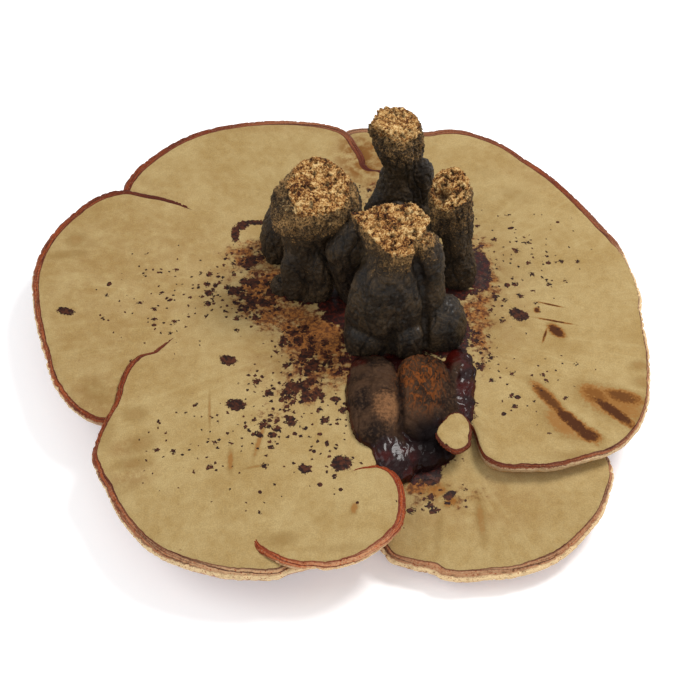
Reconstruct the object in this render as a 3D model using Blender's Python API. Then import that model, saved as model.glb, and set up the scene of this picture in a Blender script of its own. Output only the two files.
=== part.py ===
# A large compound bracket fungus lying pore side up: lobed caps grown from one
# foot, with the cut stems standing on it.
# Lengths are written in millimetres and turned into metres by the mm factor.
# The origin is under the middle of the plate, on the surface it rests on.

import bpy
import bmesh
from math import asin, atan2, cos, exp, hypot, pi, sin, sqrt, tau
from mathutils import Vector, noise

mm = 0.001

# Driving dimensions of the plate
PLATE_HEIGHT = 43.5        # pore surface above the ground at the middle
PLATE_RISE = 0.030         # how much higher each mm towards the back is
PLATE_WAVE = 0.9           # gentle unevenness of the pore surface
WAVE_ACROSS = (41.0, 0.7)  # the unevenness from left to right: length over tau, and phase
WAVE_BACK = (37.0, -0.4)   # the same from front to back
LIP_FADE = 24.0            # how far inwards a raised rim dies away
GAP = 0.3                  # clearance between pieces that touch
SKIN_REACH = 42.0          # how far from the rim the flesh gets thick
RIDGE_SPACING = 17.0       # growth rings of the skin
RIDGE_DEPTH = 1.3
RIDGE_START = 8.0          # how far inside the rim the rings reach their depth
RIM_ROUNDING = 1.2         # how wide the rim's round edge is, as a share of its height
RIM_CROWDING = 1.8         # how much closer the rings of faces lie towards the rim

# A lobe dips under the one that has grown over it, more where that rim stands proud
SINK_SLOPE = 0.03
SINK_PER_LIFT = 0.08
DEEPEST_SINK = 10.0

# The right cap lies a step lower, and drops further where the upper left lobe covers it
RIGHT_CAP_STEP = 0.5
RIGHT_CAP_DROP = 6.5
RIGHT_CAP_LEVEL_Y = -20.0
RIGHT_CAP_LOW_Y = 140.0

# The lower cap slopes from the foot down to its front rim
LOWER_RIM_HEIGHT = 18.0
LOWER_BACK_HEIGHT = 33.0
LOWER_RIM_Y = -179.0
LOWER_BACK_Y = -89.0

# The small cap rises gently to the back
SMALL_CAP_HEIGHT = 47.0
SMALL_CAP_RISE = 0.12
SMALL_CAP_Y = -102.0


def clamp(value, low, high):
    return max(low, min(high, value))


def plate_top(x, y):
    wave = sin(x / WAVE_ACROSS[0] + WAVE_ACROSS[1]) * cos(y / WAVE_BACK[0] + WAVE_BACK[1])
    return PLATE_HEIGHT + PLATE_RISE * y + PLATE_WAVE * wave


def right_cap_top(x, y):
    share = clamp((y - RIGHT_CAP_LEVEL_Y) / (RIGHT_CAP_LOW_Y - RIGHT_CAP_LEVEL_Y), 0, 1)
    return plate_top(x, y) - RIGHT_CAP_STEP - RIGHT_CAP_DROP * share


def lower_cap_top(x, y):
    share = clamp((y - LOWER_RIM_Y) / (LOWER_BACK_Y - LOWER_RIM_Y), 0, 1)
    return LOWER_RIM_HEIGHT + (LOWER_BACK_HEIGHT - LOWER_RIM_HEIGHT) * share


def small_cap_top(x, y):
    return SMALL_CAP_HEIGHT + SMALL_CAP_RISE * (y - SMALL_CAP_Y)


# Each lobe is a rounded plate about its centre. Its rim points are x, y and
# how far the rim stands proud of the plate there; a negative lift is buried in
# the lobe that it has grown together with.
LOBES = {
    "upper_left_lobe": dict(
        centre=(-50.0, 95.0), top=plate_top, thickness=5.5, flesh=50.0, segments=(42, 12),
        covered_by=("left_lobe", "front_lobe"),
        rim=[
            (34, 142.5, 0), (27, 143.5, 0), (22, 149, 0), (20, 159, 0), (15, 171, 0), (9, 183.5, 0),
            (0.5, 190.5, 0), (-27, 197.5, 0), (-49.5, 198.5, 0), (-76.5, 195, 0), (-99, 188, 0),
            (-123, 172.5, 0), (-136.5, 158, 0), (-148, 142.5, 0), (-155, 122.5, 0),
            (-154, 88, -1), (-132, 45, -1), (-90, 10, -1), (-40, -12, -1), (5, -2, -1),
            (38, 30, -1), (50, 66, 0), (52, 98, 0), (48, 126, 0),
        ]),
    "left_lobe": dict(
        centre=(-95.0, 15.0), top=plate_top, thickness=6.0, flesh=49.0, segments=(42, 12),
        covered_by=("front_lobe",),
        rim=[
            (-103.5, 104, 0), (-116, 109, 1), (-129, 112.5, 2.5), (-140.5, 114.5, 3.5),
            (-154, 118.5, 3.5), (-165, 116, 3), (-176, 110, 2), (-186, 99.5, 1), (-201.5, 72.5, 0),
            (-207, 39, 0), (-201.5, 5, 0), (-190.5, -30.5, 0), (-177.5, -61.5, 0),
            (-168.5, -74, 0), (-156, -85, 0), (-147, -89, 0), (-125, -86, -1), (-90, -76, -1),
            (-48, -48, -1), (-16, -8, -1), (-4, 26, -1), (-24, 58, -1), (-52, 78, -1),
            (-80, 92, -1),
        ]),
    "front_lobe": dict(
        centre=(-45.0, -90.0), top=plate_top, thickness=8.0, flesh=49.0, segments=(46, 12),
        covered_by=("front_fold",),
        rim=[
            (-104.5, -12.5, -0.5), (-119, -31, 1.5), (-127.5, -36, 3), (-133.5, -45, 4),
            (-137, -58.5, 4.5), (-138.5, -75.5, 4.5), (-143, -89, 4), (-147, -104.5, 3),
            (-148, -116, 2), (-142, -130.5, 1), (-135.5, -142, 0), (-121.5, -165.5, 0),
            (-104, -182.5, 0), (-82, -192.5, 0), (-59, -199, 0), (-46, -199.5, 0),
            (-31.5, -199, 0), (-24, -193.5, 0), (-4, -184, -2), (16, -164, -2), (27, -142, -2),
            (32, -112, 0), (35, -80, 0), (36, -45, 0), (34, -12, 0), (12, 14, -1),
            (-25, 22, -1), (-70, 8, -1),
        ]),
    "front_fold": dict(
        centre=(-2.0, -157.0), top=plate_top, thickness=5.0, flesh=26.0, segments=(36, 10),
        covered_by=(),
        rim=[
            (-48, -175, 0), (-42.5, -184.5, 3), (-35.5, -189.5, 4), (-28.5, -193.5, 4),
            (-13, -195.5, 3), (-3.5, -195.5, 2), (6, -193.5, 2), (16.5, -189.5, 2),
            (25.5, -183, 2), (34, -175, 2), (40, -166.5, 2), (42.5, -157, 2), (42.5, -143, 2),
            (40.5, -133.5, 2), (36, -126, 2), (29.5, -121, 1), (23, -120.5, 0),
            (4, -124, -1), (-20, -134, -1), (-40, -155, -1),
        ]),
    "right_cap": dict(
        centre=(105.0, 35.0), top=right_cap_top, thickness=6.0, flesh=49.0, segments=(50, 12),
        covered_by=(),
        rim=[
            (26, 199.5, 0), (47.5, 196, 0), (66.5, 193.5, 0), (81, 197, 0), (94, 196, 0),
            (107, 190.5, 0), (126, 178, 0), (140.5, 162, 0), (171.5, 121.5, 0), (187, 93.5, 0),
            (198, 71.5, 0), (204, 44.5, 0), (207, 17, 0), (205, 8.5, 0), (204.5, -12, 0),
            (204, -35.5, 0), (201.5, -55, 0), (194.5, -82.5, 0), (184.5, -99.5, 0),
            (170.5, -111.5, 0), (149, -119, 0), (136.5, -123, 0), (113.5, -124, 0),
            (103, -123.5, 0), (95.5, -120.5, 0), (91, -115.5, 0), (88.5, -108.5, 0),
            (87, -101, 0), (84.5, -93.5, 0), (72, -82, 0), (54, -60, 0), (36, -30, 0),
            (16, 6, 0), (2, 50, 0), (-6, 100, 0), (-6, 150, 0), (4, 192, 0),
        ]),
    "lower_cap": dict(
        centre=(95.0, -128.0), top=lower_cap_top, thickness=8.0, flesh=34.0, segments=(42, 10),
        covered_by=(),
        rim=[
            (27.5, -168, 0), (32.5, -174.5, 0), (45.5, -179.5, 0), (57.5, -182.5, 0),
            (63.5, -186.5, 0), (90.5, -187, 0), (105.5, -185.5, 0), (118.5, -181.5, 0),
            (130.5, -176.5, 0), (143, -167.5, 0), (153.5, -156.5, 0), (163, -144, 0),
            (168, -131.5, 0), (172, -119, 0), (171.5, -110.5, 0), (158, -88, 0), (130, -72, 0),
            (95, -64, 0), (60, -66, 0), (32, -80, 0), (14, -105, 0), (10, -135, 0),
            (16, -155, 0),
        ]),
    "small_cap": dict(
        centre=(74.5, -103.0), top=small_cap_top, thickness=4.0, flesh=17.0, segments=(18, 8),
        covered_by=(),
        rim=[
            (75.5, -87, 0), (83, -93.5, 0), (84, -105, 0), (80.5, -114.5, 0), (74, -117, 0),
            (67.5, -114, 0), (63, -108, 0), (61, -101.5, 0), (66, -93.5, 0),
        ]),
}


class Lobe:
    def __init__(self, centre, rim, top, thickness, flesh, segments, covered_by):
        self.centre = centre
        self.top = top
        self.thickness = thickness
        self.flesh = flesh
        self.segments = segments
        self.covered_by = covered_by
        polar = []
        for x, y, lift in rim:
            east = x - centre[0]
            north = y - centre[1]
            polar.append((atan2(north, east) % tau, hypot(east, north), lift))
        self.polar = sorted(polar)

    def at_angle(self, angle):
        """Radius and lift of the rim in one direction, on a smooth closed curve."""
        points = self.polar
        count = len(points)
        angle = angle % tau
        after = next((i for i, p in enumerate(points) if p[0] > angle), count)
        knots = []
        for step in range(-2, 2):
            turns, index = divmod(after + step, count)
            knots.append((points[index][0] + turns * tau, points[index][1], points[index][2]))
        before_last, start, end, after_next = knots
        span = end[0] - start[0]
        t = (angle - start[0]) / span
        slope_in = (end[1] - before_last[1]) / (end[0] - before_last[0]) * span
        slope_out = (after_next[1] - start[1]) / (after_next[0] - start[0]) * span
        radius = ((2 * t**3 - 3 * t**2 + 1) * start[1] + (t**3 - 2 * t**2 + t) * slope_in
                  + (3 * t**2 - 2 * t**3) * end[1] + (t**3 - t**2) * slope_out)
        return radius, start[2] + (end[2] - start[2]) * t

    def inset(self, x, y):
        """How far inside the rim a point lies, and the rim's lift beside it."""
        east = x - self.centre[0]
        north = y - self.centre[1]
        radius, lift = self.at_angle(atan2(north, east))
        return radius - hypot(east, north), lift


lobes = {name: Lobe(**values) for name, values in LOBES.items()}


def sunk_under(lobe, x, y):
    """A lobe dips where another one has grown over it."""
    depth = 0.0
    for name in lobe.covered_by:
        inside, lift = lobes[name].inset(x, y)
        if inside > 0:
            slope = SINK_SLOPE + SINK_PER_LIFT * max(lift, 0)
            depth = max(depth, min(slope * inside, DEEPEST_SINK))
    return depth


def rim_rounding(inset, thickness):
    """Fall of the rim's round edge below the plate, at a distance inside the rim."""
    half = thickness / 2
    across = clamp(inset / (half * RIM_ROUNDING), 0, 1)
    return half * (1 - sqrt(1 - (1 - across) ** 2))


def finished_mesh(name, bm):
    """Split the warped faces, which aren't flat, into triangles."""
    bmesh.ops.triangulate(bm, faces=bm.faces)
    mesh = bpy.data.meshes.new(name)
    bm.to_mesh(mesh)
    bm.free()
    return mesh


def cap_mesh(name, lobe, grow=0.0):
    """A sphere warped so that its equator is the rim, its upper half the pore
    surface and its lower half the ringed skin, flat where it meets the ground."""
    around, rings = lobe.segments
    bm = bmesh.new()
    bmesh.ops.create_uvsphere(bm, u_segments=around, v_segments=rings, radius=1)
    for vert in bm.verts:
        angle = atan2(vert.co.y, vert.co.x)
        latitude = asin(clamp(vert.co.z, -1, 1)) / (pi / 2)
        radius, lift = lobe.at_angle(angle)
        inset = radius * abs(latitude) ** RIM_CROWDING
        reach = radius + grow - inset * (radius + grow) / radius
        x = lobe.centre[0] + reach * cos(angle)
        y = lobe.centre[1] + reach * sin(angle)
        surface = lobe.top(x, y) + lift * exp(-inset / LIP_FADE) - sunk_under(lobe, x, y)
        rounding = rim_rounding(inset, lobe.thickness)
        if latitude >= 0:
            z = surface - rounding + grow
        else:
            thick = (lobe.flesh - lobe.thickness) * (1 - exp(-inset / SKIN_REACH))
            ring = RIDGE_DEPTH * sin(inset / RIDGE_SPACING * tau) * clamp(inset / RIDGE_START, 0, 1)
            z = max(surface - lobe.thickness + rounding - thick - ring, 0) - grow
        vert.co = Vector((x, y, z)) * mm
    return finished_mesh(name, bm)


# Each stem is a stack of rings: height, centre x and y, half width in x and y.
# The last ring is the cut end; its tilt is how much higher the cut is per mm
# towards the back and towards the right. Knobs are centre and half sizes.
STEMS = {
    "stem_left": dict(
        rings=[
            (40, -21, 28, 19, 17), (52, -20.5, 28, 17, 15.5), (68, -19.5, 27, 15, 14.5),
            (86, -19, 27, 15.5, 15), (102, -18, 27, 17, 17), (116, -15, 27, 21, 19),
            (126, -11.5, 27, 22.5, 19.5), (132, -10, 26.5, 18.5, 17.5),
        ],
        cut_tilt=(0.30, 0.02), seed=3.1,
        knobs=[((4, 36, 100), (14, 13, 25)), ((-37, 44, 56), (15, 14, 24)),
               ((-35, 17, 50), (9, 8, 12))]),
    "stem_back": dict(
        rings=[
            (38, 44, 87, 23, 20), (55, 44, 87, 21, 18), (74, 45, 86, 20, 16.5),
            (92, 45.5, 86, 17, 15), (106, 43.5, 86, 15.5, 14.5), (118, 41, 86, 17, 15.5),
            (128, 39.5, 86, 18.5, 15.5), (134, 39.5, 86, 15, 13),
        ],
        cut_tilt=(0.05, -0.08), seed=7.4,
        knobs=[((59, 83, 78), (8, 9, 24)), ((30, 80, 60), (11, 10, 22))]),
    "stem_right": dict(
        rings=[
            (38, 82, 35, 14, 14), (50, 83, 33, 13, 13.5), (64, 82, 33, 11, 12),
            (78, 80, 34, 10.5, 11.5), (92, 78, 36, 12, 12.5), (104, 75, 37, 14, 14),
            (112, 74, 38, 14, 14), (118, 73.5, 38.5, 11.5, 11.5),
        ],
        cut_tilt=(0.28, 0.10), seed=11.9,
        knobs=[((90, 30, 52), (8, 9, 16)), ((68, 34, 100), (8, 8, 14))]),
    "stem_front": dict(
        rings=[
            (40, 31, -22, 27, 19), (56, 30, -22, 25.5, 18.5), (72, 31, -21.5, 23, 17.5),
            (88, 33, -21.5, 19, 16.5), (100, 35, -21.5, 16, 15.5), (114, 35, -21.5, 15.5, 15),
            (126, 34.5, -21, 18, 16), (136, 34.5, -21, 23, 17),
        ],
        cut_tilt=(0.26, 0.10), seed=5.6,
        knobs=[((67, -18, 60), (16, 16, 26)), ((60, -16, 96), (11, 11, 38)),
               ((12, 3, 64), (13, 15, 30)), ((18, -2, 92), (10, 11, 24)),
               ((48, -33, 52), (13, 11, 18)), ((18, -35, 58), (12, 8, 20))]),
}

# The foot is a cluster of lacquered knobs that the caps and stems fork from
FOOT_KNOBS = [
    ((50, -62, 19), (42, 56, 14)),
    ((24, -83, 44), (18, 36, 17)),
    ((55, -79.5, 44), (18, 33, 17)),
    ((33, -112, 35), (15, 18, 14)),
    ((77, -62, 40), (11, 29, 11)),
    ((57, -108, 28), (18, 18, 12)),
]

STEM_SEGMENTS = 20
STEM_RING_SPACING = 9.0
BARK_DEPTH = 0.07          # unevenness of the bark as a share of the width
KNOT_SHARE = 1.6           # how much of it is knots, and how much the three-sided swell
SWELL_SHARE = 0.5
KNOTS_AROUND = 1.3         # knots round the stem, and the length of one along it
KNOT_LENGTH = 24.0
SLANT_POWER = 3            # how late up the stem the rings tilt towards the cut
CUT_EDGE = 3.0
CUT_DISH = 1.5             # how far the cut end is hollowed
FOOT_HEART = (50, -80, 32)
FOOT_SEGMENTS = (28, 15)
FOOT_LUMPS = 0.05          # depth of the foot's lumps as a share of its size, and how many there are
LUMPS_AROUND = 3.0


def smooth_ring(rings, height):
    """The ring at a height, smoothly between the ones given."""
    last = len(rings) - 1
    upper = next((i for i in range(1, last + 1) if rings[i][0] >= height), last)
    lower = upper - 1
    t = (height - rings[lower][0]) / (rings[upper][0] - rings[lower][0])
    values = []
    for axis in range(1, 5):
        p0 = rings[max(lower - 1, 0)][axis]
        p1 = rings[lower][axis]
        p2 = rings[upper][axis]
        p3 = rings[min(upper + 1, last)][axis]
        values.append(p1 + 0.5 * t * (p2 - p0 + t * (2 * p0 - 5 * p1 + 4 * p2 - p3
                                                   + t * (3 * (p1 - p2) + p3 - p0))))
    return values


def reach_of_knob(start, direction, knob):
    """Distance from a point to the far side of an egg-shaped knob, or zero."""
    centre, half_sizes = knob
    origin = Vector([(s - c) / h for s, c, h in zip(start, centre, half_sizes)])
    scaled = Vector([d / h for d, h in zip(direction, half_sizes)])
    a = scaled.length_squared
    b = origin.dot(scaled)
    inside = b * b - a * (origin.length_squared - 1)
    return (sqrt(inside) - b) / a if inside > 0 else 0.0


def stem_mesh(name, rings, cut_tilt, seed, knobs):
    """A cylinder warped to its rings, knots and knobs, with an uneven cut end."""
    bottom = rings[0][0]
    top = rings[-1][0]
    levels = round((top - bottom) / STEM_RING_SPACING)
    bm = bmesh.new()
    bmesh.ops.create_cone(bm, cap_ends=True, segments=STEM_SEGMENTS, radius1=1, radius2=1, depth=1)
    upright = [e for e in bm.edges if abs(e.verts[0].co.z - e.verts[1].co.z) > 0.5]
    bmesh.ops.subdivide_edges(bm, edges=upright, cuts=levels - 1)
    for vert in bm.verts:
        share = vert.co.z + 0.5
        height = bottom + (top - bottom) * share
        angle = atan2(vert.co.y, vert.co.x)
        outward = Vector((cos(angle), sin(angle), 0))
        x, y, half_x, half_y = smooth_ring(rings, height)
        knot_place = Vector((outward.x, outward.y, 0)) * KNOTS_AROUND
        knot_place.z = height / KNOT_LENGTH + seed
        knot = noise.noise(knot_place)
        swell = 1 + BARK_DEPTH * (knot * KNOT_SHARE + SWELL_SHARE * sin(3 * angle + seed))
        reach = swell / hypot(outward.x / half_x, outward.y / half_y)
        axis_point = Vector((x, y, height))
        for knob in knobs:
            reach = max(reach, reach_of_knob(axis_point, outward, knob))
        slant = share ** SLANT_POWER * (cut_tilt[0] * outward.y + cut_tilt[1] * outward.x) * reach
        vert.co = (axis_point + outward * reach + Vector((0, 0, slant))) * mm
    bm.normal_update()
    cut = [f for f in bm.faces if len(f.verts) == STEM_SEGMENTS and f.normal.z > 0]
    bmesh.ops.inset_region(bm, faces=cut, thickness=CUT_EDGE * mm, depth=-CUT_DISH / 2 * mm)
    poked = bmesh.ops.poke(bm, faces=cut)
    for vert in poked["verts"]:
        vert.co.z -= CUT_DISH * mm
    return finished_mesh(name, bm)


def foot_mesh(name, core, knobs):
    """A sphere whose surface follows the outermost knob in every direction."""
    around, rings = FOOT_SEGMENTS
    heart = Vector(core)
    bm = bmesh.new()
    bmesh.ops.create_uvsphere(bm, u_segments=around, v_segments=rings, radius=1)
    for vert in bm.verts:
        outward = vert.co.normalized()
        reach = max(reach_of_knob(heart, outward, knob) for knob in knobs)
        lump = 1 + FOOT_LUMPS * noise.noise(outward * LUMPS_AROUND)
        vert.co = (heart + outward * reach * lump) * mm
    return finished_mesh(name, bm)


def material(name, colour, roughness, coat=0.0):
    made = bpy.data.materials.new(name)
    made.use_nodes = True
    shader = made.node_tree.nodes["Principled BSDF"]
    shader.inputs["Base Color"].default_value = (*colour, 1)
    shader.inputs["Roughness"].default_value = roughness
    shader.inputs["Metallic"].default_value = 0
    shader.inputs["Coat Weight"].default_value = coat
    made.diffuse_color = (*colour, 1)
    return made


def add_piece(name, mesh, collection, finish=None):
    piece = bpy.data.objects.new(name, mesh)
    collection.objects.link(piece)
    if finish:
        mesh.materials.append(finish)
    return piece


def add_cutter(name, mesh):
    cutter = add_piece(name, mesh, cutters)
    cutter.hide_render = True
    cutter.display_type = "WIRE"
    return cutter


def combine(piece, cutter, operation):
    boolean = piece.modifiers.new(f"{operation.lower()} {cutter.name}", "BOOLEAN")
    boolean.operation = operation
    boolean.solver = "EXACT"
    boolean.object = cutter


for old in list(bpy.data.objects):
    bpy.data.objects.remove(old, do_unlink=True)

fungus = bpy.data.collections.new("bracket_fungus")
cutters = bpy.data.collections.new("cutters")
bpy.context.scene.collection.children.link(fungus)
bpy.context.scene.collection.children.link(cutters)

pore_finish = material("pore_surface", (0.50, 0.38, 0.18), 0.75)
bark_finish = material("stem_bark", (0.030, 0.024, 0.018), 0.5, 0.1)
lacquer_finish = material("foot_lacquer", (0.075, 0.018, 0.010), 0.3, 0.4)

# The lobes of the left plate have grown into one body
left_names = ("left_lobe", "front_lobe", "front_fold")
left_caps = add_piece("left_caps", cap_mesh("left_caps", lobes["upper_left_lobe"]), fungus, pore_finish)
for lobe_name in left_names:
    combine(left_caps, add_cutter(lobe_name, cap_mesh(lobe_name, lobes[lobe_name])), "UNION")

# Copies grown by the gap cut away what meets each cap, in the order of cover
grown = {}
for lobe_name, lobe in lobes.items():
    cutter_name = f"{lobe_name}_clearance"
    grown[lobe_name] = add_cutter(cutter_name, cap_mesh(cutter_name, lobe, GAP))

left_clearances = [grown[n] for n in ("upper_left_lobe", *left_names)]
right_cap = add_piece("right_cap", cap_mesh("right_cap", lobes["right_cap"]), fungus, pore_finish)
lower_cap = add_piece("lower_cap", cap_mesh("lower_cap", lobes["lower_cap"]), fungus, pore_finish)
for cutter in left_clearances:
    combine(right_cap, cutter, "DIFFERENCE")
    combine(lower_cap, cutter, "DIFFERENCE")
combine(lower_cap, grown["right_cap"], "DIFFERENCE")

small_cap = add_piece("small_cap", cap_mesh("small_cap", lobes["small_cap"]), fungus, pore_finish)
combine(small_cap, grown["right_cap"], "DIFFERENCE")

for stem_name, stem in STEMS.items():
    piece = add_piece(stem_name, stem_mesh(stem_name, **stem), fungus, bark_finish)
    for cutter in left_clearances + [grown["right_cap"]]:
        combine(piece, cutter, "DIFFERENCE")

foot = add_piece("foot", foot_mesh("foot", FOOT_HEART, FOOT_KNOBS), fungus, lacquer_finish)
for cutter in grown.values():
    combine(foot, cutter, "DIFFERENCE")
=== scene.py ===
# A large bracket fungus lying pore side up, with its cut stems standing on it.
# The fungus is given in millimetres, from under the middle of the plate, and the stage in metres.
import bpy
import bmesh
import numpy as np
from math import atan2, cos, hypot, pi, radians, sin, tau
from mathutils import Euler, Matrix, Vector, noise


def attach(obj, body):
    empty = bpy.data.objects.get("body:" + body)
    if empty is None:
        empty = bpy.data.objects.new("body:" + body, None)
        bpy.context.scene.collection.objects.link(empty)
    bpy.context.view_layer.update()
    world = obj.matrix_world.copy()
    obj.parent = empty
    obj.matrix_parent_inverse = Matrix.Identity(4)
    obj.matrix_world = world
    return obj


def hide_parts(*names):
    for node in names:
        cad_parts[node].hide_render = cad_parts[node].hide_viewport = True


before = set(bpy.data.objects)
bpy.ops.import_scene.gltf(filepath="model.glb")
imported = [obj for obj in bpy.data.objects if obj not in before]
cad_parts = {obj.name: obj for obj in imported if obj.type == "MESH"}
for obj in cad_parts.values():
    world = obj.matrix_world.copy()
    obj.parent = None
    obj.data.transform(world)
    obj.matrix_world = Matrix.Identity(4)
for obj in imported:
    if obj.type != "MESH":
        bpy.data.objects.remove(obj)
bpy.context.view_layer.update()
mm = 0.001


print("frame loaded")

# Camera, light and floor

view = {
    "place": (0.0095, -0.62114, 0.69742), "pitch": 42, "lens": 70,
    "lights": {   # place, size, power, colour
        "keyLight": ((0.60, 0.25, 1.15), 0.45, 12.5, (1.0, 0.985, 0.96)),
        "fillLight": ((-0.90, -0.20, 1.05), 1.00, 6.0, (0.96, 0.98, 1.0)),
        "frontLight": ((0.25, -1.10, 0.85), 0.80, 3.0, (1.0, 0.99, 0.97)),
    },
    "aim": (0, 0, 0.04), "sky": (0.96, 0.975, 1.0), "skyStrength": 0.52,
    "floor": (0.93, 0.93, 0.935), "floorGlow": 0.24, "floorHalf": 6, "floorDrop": 0.0002,
}

camera = bpy.data.objects.new("camera", bpy.data.cameras.new("camera"))
camera.location = view["place"]
camera.rotation_euler = (radians(view["pitch"]), 0, 0)
camera.data.lens = view["lens"]
camera.data.sensor_width = 36
camera.data.clip_start = 0.01
bpy.context.scene.collection.objects.link(camera)
bpy.context.scene.camera = camera
bpy.context.scene.view_settings.view_transform = "Standard"

for lightName, (position, size, power, colour) in view["lights"].items():
    lamp = bpy.data.lights.new(lightName, "AREA")
    lamp.shape = "DISK"
    lamp.size = size
    lamp.energy = power
    lamp.color = colour
    light = bpy.data.objects.new(lightName, lamp)
    light.location = position
    light.rotation_euler = (Vector(view["aim"]) - Vector(position)).to_track_quat("-Z", "Y").to_euler()
    bpy.context.scene.collection.objects.link(light)

world = bpy.data.worlds.new("studio")
bpy.context.scene.world = world
world.use_nodes = True
sky = world.node_tree.nodes["Background"]
sky.inputs["Color"].default_value = (*view["sky"], 1)
sky.inputs["Strength"].default_value = view["skyStrength"]


# Node helpers. Where they are given no tree, they work in the one that their sockets belong to

def addNode(tree, kind, inputs=None, **settings):
    made = tree.nodes.new(kind)
    for key, value in settings.items():
        setattr(made, key, value)
    for key, value in (inputs or {}).items():
        socket = made.inputs[key]
        if isinstance(value, bpy.types.NodeSocket):
            tree.links.new(value, socket)
        elif socket.type == "RGBA":
            socket.default_value = (*value, 1)
        else:
            socket.default_value = value
    return made


def treeOf(*values):   # the node tree of the first socket among the values
    return next(value.id_data for value in values if isinstance(value, bpy.types.NodeSocket))


def calc(operation, a, b=0.0, c=0.0):
    return addNode(treeOf(a, b, c), "ShaderNodeMath", {0: a, 1: b, 2: c}, operation=operation).outputs[0]


def times(a, b):
    return calc("MULTIPLY", a, b)


def timesPlus(a, b, c):
    return calc("MULTIPLY_ADD", a, b, c)


def plus(a, b):
    return calc("ADD", a, b)


def minus(a, b):
    return calc("SUBTRACT", a, b)


def larger(a, b):
    return calc("MAXIMUM", a, b)


def ramp01(value, low, high):   # smooth step from 0 at low to 1 at high
    return addNode(value.id_data, "ShaderNodeMapRange", {"Value": value, "From Min": low, "From Max": high},
                   interpolation_type="SMOOTHSTEP").outputs["Result"]


def blend(factor, first, second):
    return addNode(treeOf(factor, first, second), "ShaderNodeMix", {0: factor, 6: first, 7: second},
                   data_type="RGBA", clamp_factor=True).outputs[2]


def noiseOf(vector, scale, detail=3.0, roughness=0.55, distortion=0.0):
    return addNode(vector.id_data, "ShaderNodeTexNoise", {
        "Vector": vector, "Scale": scale, "Detail": detail, "Roughness": roughness,
        "Distortion": distortion}).outputs["Fac"]


def vectorCalc(operation, a, b):
    return addNode(treeOf(a, b), "ShaderNodeVectorMath", {0: a, 1: b}, operation=operation).outputs[0]


def lengthOf(vector):
    return addNode(vector.id_data, "ShaderNodeVectorMath", {0: vector}, operation="LENGTH").outputs["Value"]


def colourRamp(value, stops):   # each stop is a place from 0 to 1 and a screen colour
    made = addNode(value.id_data, "ShaderNodeValToRGB", {"Fac": value})
    elements = made.color_ramp.elements
    while len(elements) < len(stops):
        elements.new(0.5)
    for element, (position, colour) in zip(elements, stops):
        element.position = position
        element.color = (*srgb(*colour), 1)
    return made.outputs["Color"]


def attributes(tree, *names):
    return [addNode(tree, "ShaderNodeAttribute", attribute_name=name).outputs["Fac"] for name in names]


def newGroup(name, inputs, outputs):   # sockets are vectors (v), numbers (f) and colours (c)
    group = bpy.data.node_groups.new(name, "ShaderNodeTree")
    kinds = {"v": "NodeSocketVector", "f": "NodeSocketFloat", "c": "NodeSocketColor"}
    for way, sockets in (("INPUT", {"Vector": "v"} | inputs), ("OUTPUT", outputs)):
        for socketName, kind in sockets.items():
            group.interface.new_socket(socketName, in_out=way, socket_type=kinds[kind])
    return group, group.nodes.new("NodeGroupInput").outputs, group.nodes.new("NodeGroupOutput").inputs


def sendOut(group, result, values):   # joins the outputs of a group
    for key, value in values.items():
        group.links.new(value, result[key])
    return group


def place(group, inputs):
    return addNode(treeOf(*inputs.values()), "ShaderNodeGroup", inputs, node_tree=group).outputs


def newMaterial(name, **constants):
    material = bpy.data.materials.new(name)
    material.use_nodes = True
    tree = material.node_tree
    for key, value in constants.items():
        tree.nodes["Principled BSDF"].inputs[key.replace("_", " ")].default_value = value
    return material, tree


def newFinish(name, coatRoughness, specular):   # a material and its object coordinates in millimetres
    material, tree = newMaterial(name, Coat_Roughness=coatRoughness, Specular_IOR_Level=specular)
    coordinates = addNode(tree, "ShaderNodeTexCoord").outputs["Object"]
    return material, tree, vectorCalc("MULTIPLY", coordinates, (1000.0, 1000.0, 1000.0))


def dress(material, colour, rough, coat, height, depth, strength):   # joins a finish to its shader
    tree = material.node_tree
    bump = addNode(tree, "ShaderNodeBump", {"Height": height, "Distance": depth, "Strength": strength})
    for key, value in {"Base Color": colour, "Roughness": rough, "Coat Weight": coat,
                       "Normal": bump.outputs["Normal"]}.items():
        tree.links.new(value, tree.nodes["Principled BSDF"].inputs[key])
    return material


def srgb(red, green, blue):   # screen colour 0 to 255 made linear
    parts = [c / 255 for c in (red, green, blue)]
    return tuple(c / 12.92 if c <= 0.04045 else ((c + 0.055) / 1.055) ** 2.4 for c in parts)


# Shared effects

def softMottleGroup():   # slow cloudy change of colour with a fine speckle
    group, source, result = newGroup(
        "softMottle", {"Pale": "c", "Deep": "c", "Cloud Size": "f", "Speckle": "f"},
        {"Colour": "c", "Height": "f"})
    spot = source["Vector"]
    cloud = noiseOf(spot, calc("DIVIDE", 1.0, source["Cloud Size"]), 4.0, 0.6)
    small = noiseOf(spot, 0.16, 4.0, 0.6)
    mixed = timesPlus(small, 0.45, times(cloud, 0.75))
    colour = blend(ramp01(mixed, 0.38, 0.80), source["Deep"], source["Pale"])
    speck = noiseOf(spot, 1.4, 2.0, 0.7)
    dim = minus(1.0, times(source["Speckle"], ramp01(speck, 0.62, 0.38)))
    shade = addNode(group, "ShaderNodeVectorMath", {0: colour, "Scale": dim}, operation="SCALE").outputs[0]
    return sendOut(group, result, {"Colour": shade, "Height": speck})


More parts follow.
